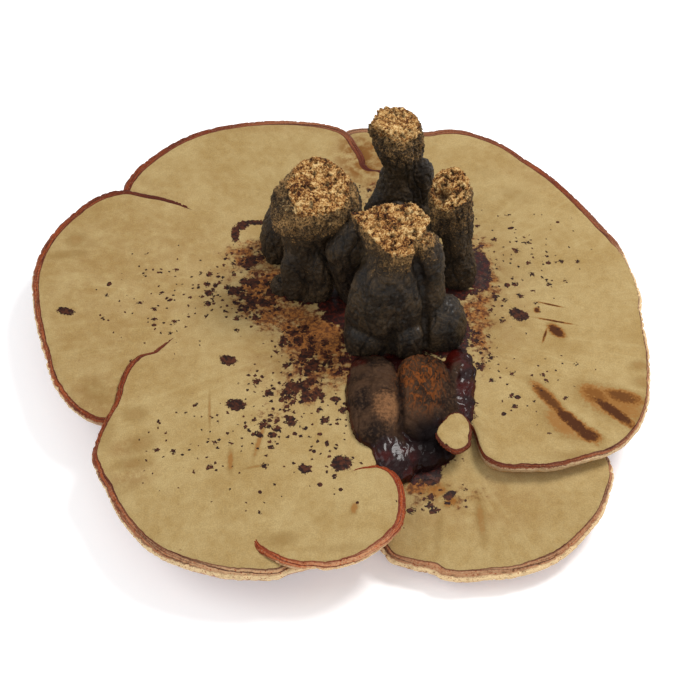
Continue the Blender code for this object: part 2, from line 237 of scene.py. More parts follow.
def growthFlowGroup():   # pattern space that runs outwards from the stems, for streaks along the growth
    group, source, result = newGroup("growthFlow", {"Hub": "v"}, {"Vector": "v"})
    arm = vectorCalc("SUBTRACT", source["Vector"], source["Hub"])
    split = addNode(group, "ShaderNodeSeparateXYZ", {0: arm}).outputs
    turn = calc("ARCTAN2", split["Y"], split["X"])
    flat = addNode(group, "ShaderNodeCombineXYZ", {0: split["X"], 1: split["Y"]}).outputs[0]
    # the circle direction keeps the pattern whole where the angle starts again
    across = addNode(group, "ShaderNodeCombineXYZ", {
        0: times(calc("COSINE", turn), 100.0), 1: times(calc("SINE", turn), 100.0),
        2: times(lengthOf(flat), 0.06)}).outputs[0]
    return sendOut(group, result, {"Vector": across})


def spatterGroup():   # round ragged blots that crowd and join where the density is high
    group, source, result = newGroup("spatter", {"Density": "f", "Cell": "f"}, {"Mask": "f"})
    density = source["Density"]
    flat = vectorCalc("MULTIPLY", source["Vector"], (1.0, 1.0, 0.0))
    cells = addNode(group, "ShaderNodeTexVoronoi", {
        "Vector": flat, "Scale": calc("DIVIDE", 1.0, source["Cell"])}, voronoi_dimensions="2D")
    chance = addNode(group, "ShaderNodeSeparateColor", {0: cells.outputs["Color"]}).outputs
    ragged = minus(noiseOf(flat, 0.62, 3.0, 0.6), 0.5)
    size = timesPlus(ragged, 0.7, timesPlus(times(chance[1], density), 0.30, 0.09))
    shown = calc("LESS_THAN", chance[0], times(density, 0.95))
    blots = times(shown, ramp01(minus(size, cells.outputs["Distance"]), -0.01, 0.03))
    field = noiseOf(flat, calc("DIVIDE", 0.8, source["Cell"]), 4.0, 0.58)
    joined = ramp01(minus(field, timesPlus(density, -0.42, 0.94)), -0.006, 0.016)
    return sendOut(group, result, {"Mask": larger(blots, joined)})


def roundMarkGroup():   # one ragged mark at a place
    group, source, result = newGroup(
        "roundMark", {"Centre": "v", "Half Size": "v", "Turn": "f", "Ragged": "f", "Soft": "f"},
        {"Mask": "f"})
    arm = vectorCalc("SUBTRACT", source["Vector"], source["Centre"])
    turned = addNode(group, "ShaderNodeVectorRotate", {"Vector": arm, "Angle": source["Turn"]},
                     rotation_type="Z_AXIS").outputs[0]
    reach = lengthOf(vectorCalc("DIVIDE", turned, source["Half Size"]))
    wobble = minus(noiseOf(source["Vector"], 0.5, 3.0, 0.65), 0.5)
    edge = timesPlus(wobble, times(source["Ragged"], -2.2), reach)
    beyond = ramp01(edge, minus(1.0, source["Soft"]), plus(1.0, source["Soft"]))
    return sendOut(group, result, {"Mask": minus(1.0, beyond)})


def rimLayersGroup():   # the brown, layered rim with its pale worn edge
    group, source, result = newGroup(
        "rimLayers", {"Across": "f", "Band": "f", "Cream": "f", "Worn": "f", "Darkness": "f",
                      "Brown": "c", "Dark": "c", "Edge": "c"}, {"Colour": "c", "Mask": "f", "Height": "f"})
    spot = source["Vector"]
    across = timesPlus(minus(noiseOf(spot, 0.12, 4.0, 0.6), 0.5), 1.6, source["Across"])
    beyond = minus(across, source["Band"])
    # fine layers run along the rim: the pattern changes quickly across it, slowly along it
    layered = addNode(group, "ShaderNodeCombineXYZ", {0: times(across, 1.3)}).outputs[0]
    along = vectorCalc("MULTIPLY", spot, (0.07, 0.07, 0.07))
    layers = noiseOf(vectorCalc("ADD", along, layered), 1.0, 3.0, 0.6)
    ribs = noiseOf(spot, 0.9, 3.0, 0.6)
    brown = blend(ramp01(layers, 0.35, 0.62), source["Dark"], source["Brown"])
    brown = blend(times(ramp01(ribs, 0.50, 0.75), 0.25), brown, source["Edge"])
    edgeTone = blend(ramp01(ribs, 0.30, 0.46), source["Brown"], source["Edge"])
    brown = blend(times(source["Worn"], ramp01(layers, 0.30, 0.55)), brown, edgeTone)
    flakes = minus(timesPlus(minus(ribs, 0.5), 5.0, across), times(source["Cream"], 3.0))
    pale = times(minus(1.0, ramp01(flakes, -0.6, 0.6)), ramp01(source["Cream"], 0.05, 0.35))
    lip = times(ramp01(beyond, -1.3, -0.3), 0.75)
    colour = blend(lip, blend(pale, brown, edgeTone), source["Dark"])
    colour = blend(source["Darkness"], colour, source["Dark"])
    return sendOut(group, result, {"Colour": colour, "Mask": minus(1.0, ramp01(beyond, -0.15, 0.15)),
                                   "Height": timesPlus(ribs, 0.4, layers)})


def capSkinGroup():   # the lacquered skin in growth zones, pale near the rim and dark towards the middle
    group, source, result = newGroup("capSkin", {"Depth": "f"}, {"Colour": "c", "Height": "f"})
    wander = minus(noiseOf(source["Vector"], 0.03, 4.0, 0.6), 0.5)
    depth = timesPlus(wander, 16.0, source["Depth"])
    zones = colourRamp(calc("DIVIDE", depth, 90.0), [
        (0.0, (206, 160, 96)), (0.05, (176, 96, 40)), (0.13, (120, 44, 20)), (0.24, (140, 58, 26)),
        (0.34, (78, 24, 14)), (0.50, (98, 34, 18)), (0.66, (48, 16, 12)), (1.0, (34, 14, 11))])
    rings = calc("SINE", times(depth, tau / 4.2))
    grime = noiseOf(source["Vector"], 0.09, 5.0, 0.65)
    colour = blend(times(ramp01(rings, 0.2, 1.0), 0.35), zones, srgb(38, 14, 10))
    colour = blend(times(ramp01(grime, 0.52, 0.72), 0.45), colour, srgb(150, 112, 78))
    return sendOut(group, result, {"Colour": colour, "Height": timesPlus(rings, 0.3, grime)})


softMottle = softMottleGroup()
growthFlow = growthFlowGroup()
spatter = spatterGroup()
roundMark = roundMarkGroup()
rimLayers = rimLayersGroup()
capSkin = capSkinGroup()

floorMaterial, floorTree = newMaterial("paleFloor", Roughness=0.9, Emission_Strength=view["floorGlow"],
                                       Emission_Color=(1.0, 1.0, 1.0, 1.0))
floorTone = noiseOf(addNode(floorTree, "ShaderNodeTexCoord").outputs["Object"], 3.0)
floorTree.links.new(blend(floorTone, view["floor"], tuple(0.99 * c for c in view["floor"])),
                    floorTree.nodes["Principled BSDF"].inputs["Base Color"])
floorBm = bmesh.new()
bmesh.ops.create_grid(floorBm, x_segments=1, y_segments=1, size=view["floorHalf"])
bmesh.ops.translate(floorBm, verts=floorBm.verts, vec=(0, 0, -view["floorDrop"]))
floorMesh = bpy.data.meshes.new("floor")
floorBm.to_mesh(floorMesh)
floorMesh.materials.append(floorMaterial)
floor = bpy.data.objects.new("floor", floorMesh)
bpy.context.scene.collection.objects.link(floor)
print("stage ready")

# The lobed plate

plate = {
    "height": 43.5, "rise": 0.030, "wave": 0.9, "lipFade": 24.0,
    "skinReach": 42.0, "ridgeSpacing": 17.0, "ridgeDepth": 1.3,
    "rightDrop": 6.5, "lowerRim": 18.0, "lowerBack": 33.0,
    "undulation": 0.35, "rimWobble": 0.7, "layerDepth": 0.22, "poreLip": 0.35, "creamStep": 1.1,
    "sinkSlope": 0.03, "sinkPerLift": 0.08, "sinkMost": 10, "fineRidge": 0.35, "wrinkle": 0.5,
    "hub": (25.0, 0.0, 0.0), "acrossSteps": 78,
}


def plateTop(x, y):
    return plate["height"] + plate["rise"] * y + plate["wave"] * np.sin(x / 41 + 0.7) * np.cos(y / 37 - 0.4)


def rightCapTop(x, y):
    return plateTop(x, y) - 0.5 - plate["rightDrop"] * np.clip((y + 20) / 160, 0, 1)


def lowerCapTop(x, y):
    return plate["lowerRim"] + (plate["lowerBack"] - plate["lowerRim"]) * np.clip((y + 179) / 90, 0, 1)


def smallCapTop(x, y):
    return 47.0 + 0.12 * (y + 102.0)


# Each rim point is x, y and, where it isn't 0, how far the rim stands proud. Each band entry is a direction
# from the centre in degrees, the brown rim's width, and how creamy, worn and dark it is there.
lobes = {
    "upperLeftLobe": dict(
        replaces="left_caps", centre=(-50.0, 95.0), top=plateTop, thickness=5.5, flesh=50.0,
        coveredBy=("leftLobe", "frontLobe"), around=560,
        rim=[
            (34, 142.5), (27, 143.5), (22, 149), (20, 159), (15, 171), (9, 183.5),
            (0.5, 190.5), (-27, 197.5), (-49.5, 198.5), (-76.5, 195), (-99, 188),
            (-123, 172.5), (-136.5, 158), (-148, 142.5), (-155, 122.5),
            (-154, 88, -1), (-132, 45, -1), (-90, 10, -1), (-40, -12, -1), (5, -2, -1),
            (38, 30, -1), (50, 66), (52, 98), (48, 126),
        ],
        bands=[(0, 6.0, 0.0, 0.0, 1.0), (32, 7.0, 0.0, 0.0, 1.0), (50, 8.8, 0.0, 0.1, 0.5),
               (77, 9.0, 0.1, 0.2, 0.3), (118, 9.4, 0.25, 0.0, 0.4), (154, 9.2, 0.25, 0.0, 0.3),
               (175, 7.5, 0.10, 0.0, 0.3)]),
    "leftLobe": dict(
        replaces="left_caps", centre=(-95.0, 15.0), top=plateTop, thickness=6.0, flesh=49.0,
        coveredBy=("frontLobe",), around=560,
        rim=[
            (-103.5, 104), (-116, 109, 1), (-129, 112.5, 2.5), (-140.5, 114.5, 3.5),
            (-154, 118.5, 3.5), (-165, 116, 3), (-176, 110, 2), (-186, 99.5, 1), (-201.5, 72.5),
            (-207, 39), (-201.5, 5), (-190.5, -30.5), (-177.5, -61.5),
            (-168.5, -74), (-156, -85), (-147, -89), (-125, -86, -1), (-90, -76, -1),
            (-48, -48, -1), (-16, -8, -1), (-4, 26, -1), (-24, 58, -1), (-52, 78, -1),
            (-80, 92, -1),
        ],
        bands=[(92, 7.0, 0.0, 0.0, 1.0), (112, 8.4, 0.0, 0.0, 0.9), (126, 9.0, 0.0, 0.0, 0.4),
               (150, 8.4, 0.20, 0.0, 0.1), (180, 7.0, 0.50, 0.05, 0.0), (215, 6.0, 0.55, 0.05, 0.0),
               (238, 5.4, 0.30, 0.0, 0.2), (260, 4.0, 0.0, 0.0, 0.5)]),
    "frontLobe": dict(
        replaces="left_caps", centre=(-45.0, -90.0), top=plateTop, thickness=8.0, flesh=49.0,
        coveredBy=("frontFold",), around=600,
        rim=[
            (-104.5, -12.5, -0.5), (-119, -31, 1.5), (-127.5, -36, 3), (-133.5, -45, 4),
            (-137, -58.5, 4.5), (-138.5, -75.5, 4.5), (-143, -89, 4), (-147, -104.5, 3),
            (-148, -116, 2), (-142, -130.5, 1), (-135.5, -142), (-121.5, -165.5),
            (-104, -182.5), (-82, -192.5), (-59, -198.2), (-46, -198.8),
            (-31.5, -198.4), (-24, -193.5), (-4, -184, -2), (16, -164, -2), (27, -142, -2),
            (32, -112), (35, -80), (36, -45), (34, -12), (12, 14, -1),
            (-25, 22, -1), (-70, 8, -1),
        ],
        bands=[(120, 6.5, 0.0, 0.0, 0.8), (150, 7.6, 0.0, 0.0, 0.4), (171, 6.8, 0.15, 0.0, 0.1),
               (195, 6.4, 0.30, 0.0, 0.0), (215, 7.0, 0.45, 0.10, 0.0), (240, 7.4, 0.60, 0.25, 0.0),
               (262, 7.2, 0.75, 0.55, 0.0), (285, 6.4, 0.6, 0.45, 0.0), (320, 3.0, 0.0, 0.0, 0.0)]),
    "frontFold": dict(
        replaces="left_caps", centre=(-2.0, -157.0), top=plateTop, thickness=5.0, flesh=26.0,
        coveredBy=(), around=420,
        rim=[
            (-48, -175), (-42.5, -184.5, 3), (-35.5, -189.5, 4), (-28.5, -193.5, 4),
            (-13, -195.5, 3), (-3.5, -195.5, 2), (6, -193.5, 2), (16.5, -189.5, 2),
            (25.5, -183, 2), (34, -175, 2), (40, -166.5, 2), (42.5, -157, 2), (42.5, -143, 2),
            (40.5, -133.5, 2), (36, -126, 2), (29.5, -121, 1), (23, -120.5),
            (4, -124, -1), (-20, -134, -1), (-40, -155, -1),
        ],
        bands=[(30, 6.0, 0.0, 0.0, 0.3), (200, 4.6, 0.0, 0.0, 0.2), (230, 5.8, 0.2, 0.1, 0.0),
               (270, 5.8, 0.35, 0.35, 0.0), (310, 6.2, 0.30, 0.35, 0.0), (350, 6.4, 0.10, 0.05, 0.0)]),
    "rightCap": dict(
        replaces="right_cap", centre=(105.0, 35.0), top=rightCapTop, thickness=6.0, flesh=49.0,
        coveredBy=(), around=600,
        rim=[
            (26, 198.0), (47.5, 195.5), (66.5, 193.5), (81, 196.5), (94, 195.5),
            (107, 190.5), (126, 178), (140.5, 162), (171.5, 121.5), (187, 93.5),
            (198, 71.5), (204, 44.5), (206.4, 17), (205, 8.5), (204.5, -12),
            (204, -35.5), (201.5, -55), (194.5, -82.5), (184.5, -99.5),
            (170.5, -111.5), (149, -119), (136.5, -123), (113.5, -124),
            (103, -123.5), (95.5, -120.5), (91, -115.5), (88.5, -108.5),
            (87, -101), (84.5, -93.5), (72, -82), (54, -60), (36, -30),
            (16, 6), (2, 50), (-6, 100), (-6, 150), (4, 192),
        ],
        bands=[(0, 3.6, 0.8, 0.85, 0.0), (14, 4.4, 0.6, 0.7, 0.0), (22, 8.0, 0.1, 0.15, 0.3),
               (60, 9.2, 0.0, 0.0, 0.4), (95, 9.2, 0.0, 0.1, 0.4), (118, 9.4, 0.0, 0.3, 0.2),
               (180, 4.0, 0.0, 0.0, 0.5), (245, 3.8, 0.0, 0.0, 1.0), (262, 4.6, 0.30, 0.0, 0.5),
               (290, 5.0, 0.5, 0.1, 0.2), (318, 5.0, 0.7, 0.3, 0.0), (340, 4.2, 0.8, 0.7, 0.0)]),
    "lowerCap": dict(
        replaces="lower_cap", centre=(95.0, -128.0), top=lowerCapTop, thickness=8.0, flesh=34.0,
        coveredBy=(), around=520,
        rim=[
            (27.5, -168), (32.5, -174.5), (45.5, -179.5), (57.5, -182.5),
            (63.5, -186.5), (90.5, -187), (105.5, -185.5), (118.5, -181.5),
            (130.5, -176.5), (143, -167.5), (153.5, -156.5), (163, -144),
            (168, -131.5), (172, -119), (171.5, -110.5), (158, -88), (130, -72),
            (95, -64), (60, -66), (32, -80), (14, -105), (10, -135),
            (16, -155),
        ],
        bands=[(0, 5.5, 0.6, 0.3, 0.0), (90, 4.0, 0.0, 0.0, 0.0), (180, 4.5, 0.3, 0.0, 0.0),
               (225, 7.4, 0.8, 0.3, 0.0), (270, 8.0, 0.9, 0.4, 0.0), (320, 7.4, 0.9, 0.3, 0.0)]),
    "smallCap": dict(
        replaces="small_cap", centre=(74.5, -103.0), top=smallCapTop, thickness=4.0, flesh=17.0,
        coveredBy=(), around=170, stained=0.0,
        rim=[
            (75.5, -87), (83, -93.5), (84, -105), (80.5, -114.5), (74, -117),
            (67.5, -114), (63, -108), (61, -101.5), (66, -93.5),
        ],
        bands=[(0, 3.0, 0.0, 0.0, 0.8), (180, 2.6, 0.0, 0.0, 0.6), (270, 3.4, 0.0, 0.0, 0.5)]),
}

rimSteps = np.linspace(0, tau, 2880, endpoint=False)


def rimTable(lobe):   # radius and lift of a lobe's rim in every direction
    centre = lobe["centre"]
    polar = sorted((atan2(y - centre[1], x - centre[0]) % tau, hypot(x - centre[0], y - centre[1]), sum(lift))
                   for x, y, *lift in lobe["rim"])
    turn, radius, lift = np.array(polar).T
    turn = np.concatenate([turn - tau, turn, turn + tau])
    radius = np.tile(radius, 3)
    lift = np.tile(lift, 3)
    slope = (radius[2:] - radius[:-2]) / (turn[2:] - turn[:-2])
    k = np.searchsorted(turn, rimSteps, side="right") - 1
    span = turn[k + 1] - turn[k]
    t = (rimSteps - turn[k]) / span
    smooth = ((2 * t**3 - 3 * t**2 + 1) * radius[k] + (t**3 - 2 * t**2 + t) * slope[k - 1] * span
              + (3 * t**2 - 2 * t**3) * radius[k + 1] + (t**3 - t**2) * slope[k] * span)
    return smooth, lift[k] + (lift[k + 1] - lift[k]) * t


for lobe in lobes.values():
    lobe["radii"], lobe["lifts"] = rimTable(lobe)


def aroundRim(table, turn):
    return np.interp(turn % tau, rimSteps, table, period=tau)


def insideRim(lobe, x, y):
    east = x - lobe["centre"][0]
    north = y - lobe["centre"][1]
    turn = np.arctan2(north, east)
    return aroundRim(lobe["radii"], turn) - np.hypot(east, north), aroundRim(lobe["lifts"], turn)


shuffled = np.random.default_rng(7).permutation(256)
slopes = np.random.default_rng(11).normal(size=(256, 3))
slopes /= np.linalg.norm(slopes, axis=1)[:, None]


def gradientNoise(points):   # smooth noise of about -1 to 1 for many points at once
    cell = np.floor(points).astype(int)
    part = points - cell
    ease = part ** 3 * (part * (part * 6 - 15) + 10)
    total = np.zeros(len(points))
    for corner in np.ndindex(2, 2, 2):
        at = (cell + corner) & 255
        pick = shuffled[(shuffled[(shuffled[at[:, 0]] + at[:, 1]) & 255] + at[:, 2]) & 255]
        weight = np.prod(np.where(corner, ease, 1 - ease), axis=1)
        total += weight * ((part - corner) * slopes[pick]).sum(axis=1)
    return total * 1.5


def noiseAt(x, y, z, scale, octaves=3):
    points = np.stack([x, y, z], axis=1) * scale
    return sum(gradientNoise(points * 2 ** k + 17.3 * k) / 2 ** k for k in range(octaves))


def smoothStep(value, low, high):
    t = np.clip((value - low) / (high - low), 0, 1)
    return t * t * (3 - 2 * t)


def readPlaces(mesh, quality="co"):
    values = np.empty(len(mesh.vertices) * 3)
    mesh.vertices.foreach_get(quality, values)
    return values.reshape(-1, 3)


def writeMesh(mesh, points, painted):   # moves the vertices and stores what the materials read
    mesh.vertices.foreach_set("co", (points * mm).ravel())
    mesh.update()
    for name, values in painted.items():
        mesh.attributes.new(name, "FLOAT", "POINT").data.foreach_set("value", values.astype(np.float32))
    return mesh


def addPiece(name, mesh, material, replaces):
    mesh.polygons.foreach_set("use_smooth", [True] * len(mesh.polygons))
    mesh.materials.append(material)
    piece = bpy.data.objects.new(name, mesh)
    bpy.context.scene.collection.objects.link(piece)
    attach(piece, "root")
    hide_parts(replaces)
    print("made", name)


# Soft patches on the plate: x, y, half sizes, turn in degrees and strength
stains = {
    "spatter": [
        (-54, 18, 34, 38, 0, 0.98), (-62, 52, 26, 20, 30, 0.92), (-78, 26, 32, 32, 0, 0.82),
        (-28, -22, 22, 22, 0, 0.95), (-14, -40, 24, 26, 0, 1.05), (-22, -66, 28, 24, 20, 1.05),
        (-42, -60, 26, 24, 0, 0.7), (-34, -92, 40, 26, 20, 0.82), (2, -84, 18, 22, 0, 0.7),
        (-104, 6, 34, 30, 0, 0.5), (96, 38, 16, 50, 0, 0.8), (92, -30, 14, 34, 0, 0.85),
        (112, 20, 24, 40, 0, 0.6), (-10, -118, 40, 26, 0, 0.55), (-60, -110, 70, 50, 0, 0.40),
        (-120, 10, 60, 60, 0, 0.25), (62, -140, 30, 14, 20, 0.7), (120, 50, 60, 70, 0, 0.38),
        (120, -60, 50, 40, 0, 0.30), (20, 112, 30, 20, 0, 0.3),
    ],
    "rust": [
        (-46, 20, 34, 42, 0, 0.86), (-60, 54, 26, 26, 0, 0.74), (-12, -22, 32, 28, 0, 1.15),
        (-18, -56, 24, 30, 10, 0.66), (4, -46, 16, 30, 0, 0.85), (93, -4, 14, 56, 0, 0.8),
        (100, 40, 18, 46, 0, 0.75), (92, 66, 24, 18, 0, 0.6), (30, 116, 26, 22, 0, 0.5),
        (-30, -4, 34, 20, 0, 1.0), (-40, -84, 16, 24, 0, 0.42), (70, -136, 40, 12, 10, 0.5),
        (52, -128, 18, 9, 0, 0.95),
    ],
    "lacquer": [
        (-19, 28, 31, 29, 0, 1.0), (30, -22, 42, 34, 0, 1.0),
        (68, -16, 33, 33, 0, 1.0), (82, 36, 28, 34, 0, 1.0), (45, 87, 36, 32, 0, 1.0),
        (8, 8, 30, 30, 0, 1.0), (98, 44, 14, 34, 0, 0.8), (6, -46, 12, 24, 0, 0.58),
        (46, -72, 54, 58, 0, 1.0), (49, -113, 34, 20, 12, 0.95),
    ],
    "brown": [
        (18, 158, 24, 44, 0, 1.5), (30, 126, 22, 20, 0, 0.7), (-150, -70, 24, 26, 20, 0.6),
        (-168, 70, 16, 10, 20, 0.35),
        (85, -140, 60, 26, 0, 0.35), (-126, -110, 14, 8, 20, 0.6), (-122, -130, 20, 12, 20, 0.6),
        (-20, -40, 60, 50, 0, 0.5), (-60, 30, 50, 46, 0, 0.5), (100, 20, 40, 80, 0, 0.45),
        (-30, 190, 110, 12, 0, 0.30), (150, 150, 60, 30, -40, 0.25), (-140, 30, 100, 120, 0, 0.30),
    ],
}


def patchesAt(x, y, patches):   # how strongly the soft patches cover each place
    total = np.zeros_like(x)
    for px, py, halfX, halfY, turn, strength in patches:
        c, s = cos(radians(turn)), sin(radians(turn))
        u = ((x - px) * c + (y - py) * s) / halfX
        v = ((y - py) * c - (x - px) * s) / halfY
        total = np.maximum(total, strength * (1 - smoothStep(np.hypot(u, v), 0.25, 1.15)))
    return total


def lobeMesh(name, lobe, seed):   # a sphere warped: its equator is the rim, upper half pores, lower half skin
    bm = bmesh.new()
    bmesh.ops.create_grid(bm, x_segments=lobe["around"], y_segments=plate["acrossSteps"], size=1)
    for vert in bm.verts:
        turn, latitude = pi * vert.co.x, 0.5 * pi * vert.co.y
        vert.co = (cos(latitude) * cos(turn), cos(latitude) * sin(turn), sin(latitude))
    bmesh.ops.remove_doubles(bm, verts=[v for v in bm.verts if v.is_boundary], dist=1e-5)
    mesh = bpy.data.meshes.new(name)
    bm.to_mesh(mesh)
    bm.free()
    ball = readPlaces(mesh)
    turn = np.arctan2(ball[:, 1], ball[:, 0])
    latitude = np.arcsin(np.clip(ball[:, 2], -1, 1)) / (pi / 2)
    upper = latitude >= 0
    radius = aroundRim(lobe["radii"], turn)
    lift = aroundRim(lobe["lifts"], turn)
    bandTurns = [radians(b[0]) for b in lobe["bands"]]
    band, cream, worn, dark = (np.interp(turn % tau, bandTurns, [b[i] for b in lobe["bands"]], period=tau)
                               for i in (1, 2, 3, 4))
    inset = radius * np.abs(latitude) ** 2.0
    half = lobe["thickness"] / 2
    bend = np.clip(inset / (half * 1.2), 0, 1)
    slant = np.arccos(1 - bend)                        # 0 at the equator, a quarter turn on the flat
    across = (slant * half * 1.1 + np.maximum(inset - half * 1.2, 0)) * np.where(upper, 1, -1)
    outX, outY = np.cos(turn), np.sin(turn)
    rimX = lobe["centre"][0] + radius * outX
    rimY = lobe["centre"][1] + radius * outY
    level = np.full_like(rimX, seed)
    # the rim line wanders inwards a little, and its outer side is built of thin layers
    wobble = plate["rimWobble"] * np.abs(noiseAt(rimX, rimY, level, 0.11, 4))
    reach = radius - inset - wobble * np.exp(-inset / 7)
    layers = noiseAt(rimX * 0.05, rimY * 0.05, across * 0.9 + seed, 1.0, 3)
    chips = np.maximum(noiseAt(rimX, rimY, across * 0.5 + seed, 0.35, 3) - 0.08, 0)
    onRim = np.exp(-(np.maximum(np.abs(across) - 4, 0) / 2.5) ** 2)
    push = -(plate["layerDepth"] * (0.5 + layers) + chips * (1.0 + 2.0 * cream)) * onRim
    push = push - plate["creamStep"] * cream * smoothStep(across, 0.2, 1.6) * onRim   # the pale layer below
    x = lobe["centre"][0] + (reach + push * np.cos(slant)) * outX
    y = lobe["centre"][1] + (reach + push * np.cos(slant)) * outY
    sunk = np.zeros_like(x)
    for cover in lobe["coveredBy"]:
        inside, coverLift = insideRim(lobes[cover], x, y)
        slope = plate["sinkSlope"] + plate["sinkPerLift"] * np.maximum(coverLift, 0)
        sunk = np.maximum(sunk, np.where(inside > 0, np.minimum(slope * inside, plate["sinkMost"]), 0))
    surface = lobe["top"](x, y) + lift * np.exp(-inset / plate["lipFade"]) - sunk
    rounding = half * (1 - np.sqrt(np.clip(1 - (1 - bend) ** 2, 0, 1)))
    waves = plate["undulation"] * noiseAt(x, y, level, 0.028, 3) * smoothStep(inset, 2, 25)
    lipStep = plate["poreLip"] * (smoothStep(across, band - 0.4, band + 0.3) - 1)
    thick = (lobe["flesh"] - lobe["thickness"]) * (1 - np.exp(-inset / plate["skinReach"]))
    ringPhase = inset / plate["ridgeSpacing"] + 0.05 * noiseAt(x, y, x * 0, 0.03, 2)
    started = np.clip(inset / 8, 0, 1)
    rings = plate["ridgeDepth"] * np.sin(ringPhase * tau) * started
    rings = rings + plate["fineRidge"] * np.sin(ringPhase * tau * 4 + 0.6) * started
    wrinkle = plate["wrinkle"] * noiseAt(x, y, level, 0.09, 3) * smoothStep(inset, 3, 20)
    top = surface - rounding + waves + lipStep + push * np.sin(slant)
    under = surface - lobe["thickness"] + rounding - thick - rings - wrinkle - push * np.sin(slant) * 0.5
    z = np.where(upper, top, np.maximum(under, 0))
    soiled = {stain: patchesAt(x, y, patches) * lobe.get("stained", 1.0) for stain, patches in stains.items()}
    return writeMesh(mesh, np.stack([x, y, z], axis=1), {
        "across": across, "band": band, "cream": cream, "worn": worn, "rimDark": dark} | soiled)


# Marks on the pore surface: x, y, half sizes, turn in degrees
hookedMark = [(-57, 86, 9.0, 2.4, 0), (-66, 83, 5.0, 4.0, 40), (-70.5, 75, 3.0, 8.0, 0)]
darkMarks = {
    "upperLeftLobe": [*hookedMark, (-46, 88, 4.0, 1.0, 0)],
    "leftLobe": [
        *hookedMark, (-179, 2, 6.0, 3.2, -15), (-91.4, -50, 1.6, 1.6, 0), (-81.7, -23.4, 2.2, 2.0, 0),
        (-119.5, -9.4, 1.6, 1.4, 0), (-110.9, 13, 1.8, 1.2, 40), (-153.2, 27, 1.6, 2.2, -30),
        (-73, -40, 1.6, 1.6, 0),
    ],
    "frontLobe": [
        (-61.8, -77, 6.2, 4.6, -15), (4.1, -120.6, 6.5, 5.6, 0), (-17.6, -125.3, 4.0, 3.2, 0),
        (-69, -39.9, 5.6, 4.2, -20), (-8.4, -136.2, 1.5, 1.5, 0), (2.3, -136.1, 1.7, 1.5, 0),
        (8.3, -137.6, 1.6, 1.3, 0), (-44, -142.3, 1.2, 1.2, 0), (0.1, -71.5, 3.4, 2.4, 10),
        (-4.6, -105.7, 1.3, 2.2, 0), (-12.4, -111.9, 1.4, 1.4, 0), (-9, -98.9, 1.4, 1.4, 0),
    ],
    "frontFold": [(4, -140, 1.2, 1.2, 0), (14, -150, 1.0, 1.0, 0)],
    "rightCap": [
        (115.2, -70, 1.9, 1.9, 0), (105.4, -83.4, 1.6, 1.6, 0), (145.8, 50.3, 1.8, 1.4, 0),
        (156.8, 91.3, 1.4, 1.2, 0), (123.1, 85.3, 2.2, 1.4, 20), (123.5, 64, 1.6, 1.2, 0),
        (115.9, 28.6, 2.2, 2.0, 0), (106.9, 17, 2.0, 1.8, 0), (121.5, 1, 7.0, 5.0, -35),
    ],
    "lowerCap": [(59.5, -124.3, 6.0, 3.5, 20), (70.1, -134.4, 5.0, 2.6, 30)],
    "smallCap": [(68, -112, 1.0, 1.6, 20)],
}
# Brown smears: x, y, half sizes, turn, strength
smears = {
    "leftLobe": [(-181, 69, 7, 8, 20, 0.45), (-184, 55, 13, 4, 10, 0.4), (-173, 64, 9, 4, 0, 0.25),
                 (-150, -66, 8, 12, 30, 0.35)],
    "frontLobe": [
        (-62.9, -119.3, 2.0, 9.5, 3, 0.6), (-46, -104, 1.7, 15, -12, 0.6), (-78, -82, 1.0, 14, 4, 0.5),
        (-48, -124, 7, 1.0, 15, 0.5), (-141, -100, 6, 12, 0, 0.35), (-124, -86, 8, 6, 0, 0.42),
        (-118, -108, 10, 6, 40, 0.42), (-122, -122, 10, 5, 10, 0.42), (-126, -140, 12, 5, 20, 0.25),
        (-14, -174, 5, 9, 0, 0.25),
    ],
    "frontFold": [(12, -154, 2.4, 5, -10, 0.6), (-30, -176, 9, 5, 10, 0.4), (4, -182, 22, 3, 4, 0.25)],
    "rightCap": [
        (134, -71, 18, 4.6, -57, 0.90), (148, -91, 20, 5.0, -50, 1.05), (156, -100, 9, 5.6, -30, 1.0),
        (141, -91, 17, 9.0, -50, 0.62), (164, -69, 13, 8.5, -42, 0.78), (174, -82, 20, 4.8, -46, 0.98),
        (181, -70, 16, 6.4, -18, 0.86), (174, -75, 24, 13, -32, 0.66), (145, -14, 7.5, 4.2, -55, 1.1),
        (143.5, 10.7, 9, 0.8, -17, 0.95), (145, -4.8, 12, 0.9, -14, 1.0), (137, -18, 7, 0.9, 72, 0.95),
        (134, 5.5, 2.2, 2.6, 0, 1.0), (150, -116, 20, 4, 0, 0.4), (110, 145, 10, 6, -30, 0.2),
        (130, 120, 14, 7, -30, 0.25), (196, -44, 7, 5, 0, 0.45), (196, -58, 8, 5, -10, 0.45),
    ],
    "lowerCap": [(88, -150, 3, 16, 4, 0.5), (62, -160, 2.6, 13, -8, 0.35), (62, -132, 8, 5, 20, 0.6),
                 (70, -139, 5, 3, 30, 0.7)],
    "smallCap": [(72, -98, 4, 3, 0, 0.2)],
}
capColours = {
    "pale": srgb(175, 151, 103), "deep": srgb(157, 129, 79), "brown": srgb(146, 62, 19),
    "dark": srgb(70, 24, 11), "edge": srgb(218, 189, 144), "spot": srgb(30, 13, 8),
    "spotLight": srgb(74, 36, 18), "rust": srgb(142, 86, 38), "rustDark": srgb(88, 46, 24),
    "lacquer": srgb(34, 9, 6), "lacquerLight": srgb(72, 21, 9), "smear": srgb(70, 36, 12),
    "faint": srgb(140, 110, 64), "bright": srgb(184, 164, 116), "aged": srgb(122, 82, 38),
    "ochre": srgb(134, 86, 34), "olive": srgb(128, 100, 54),
}
foldColours = capColours | {"brown": srgb(158, 66, 16), "dark": srgb(98, 30, 9)}
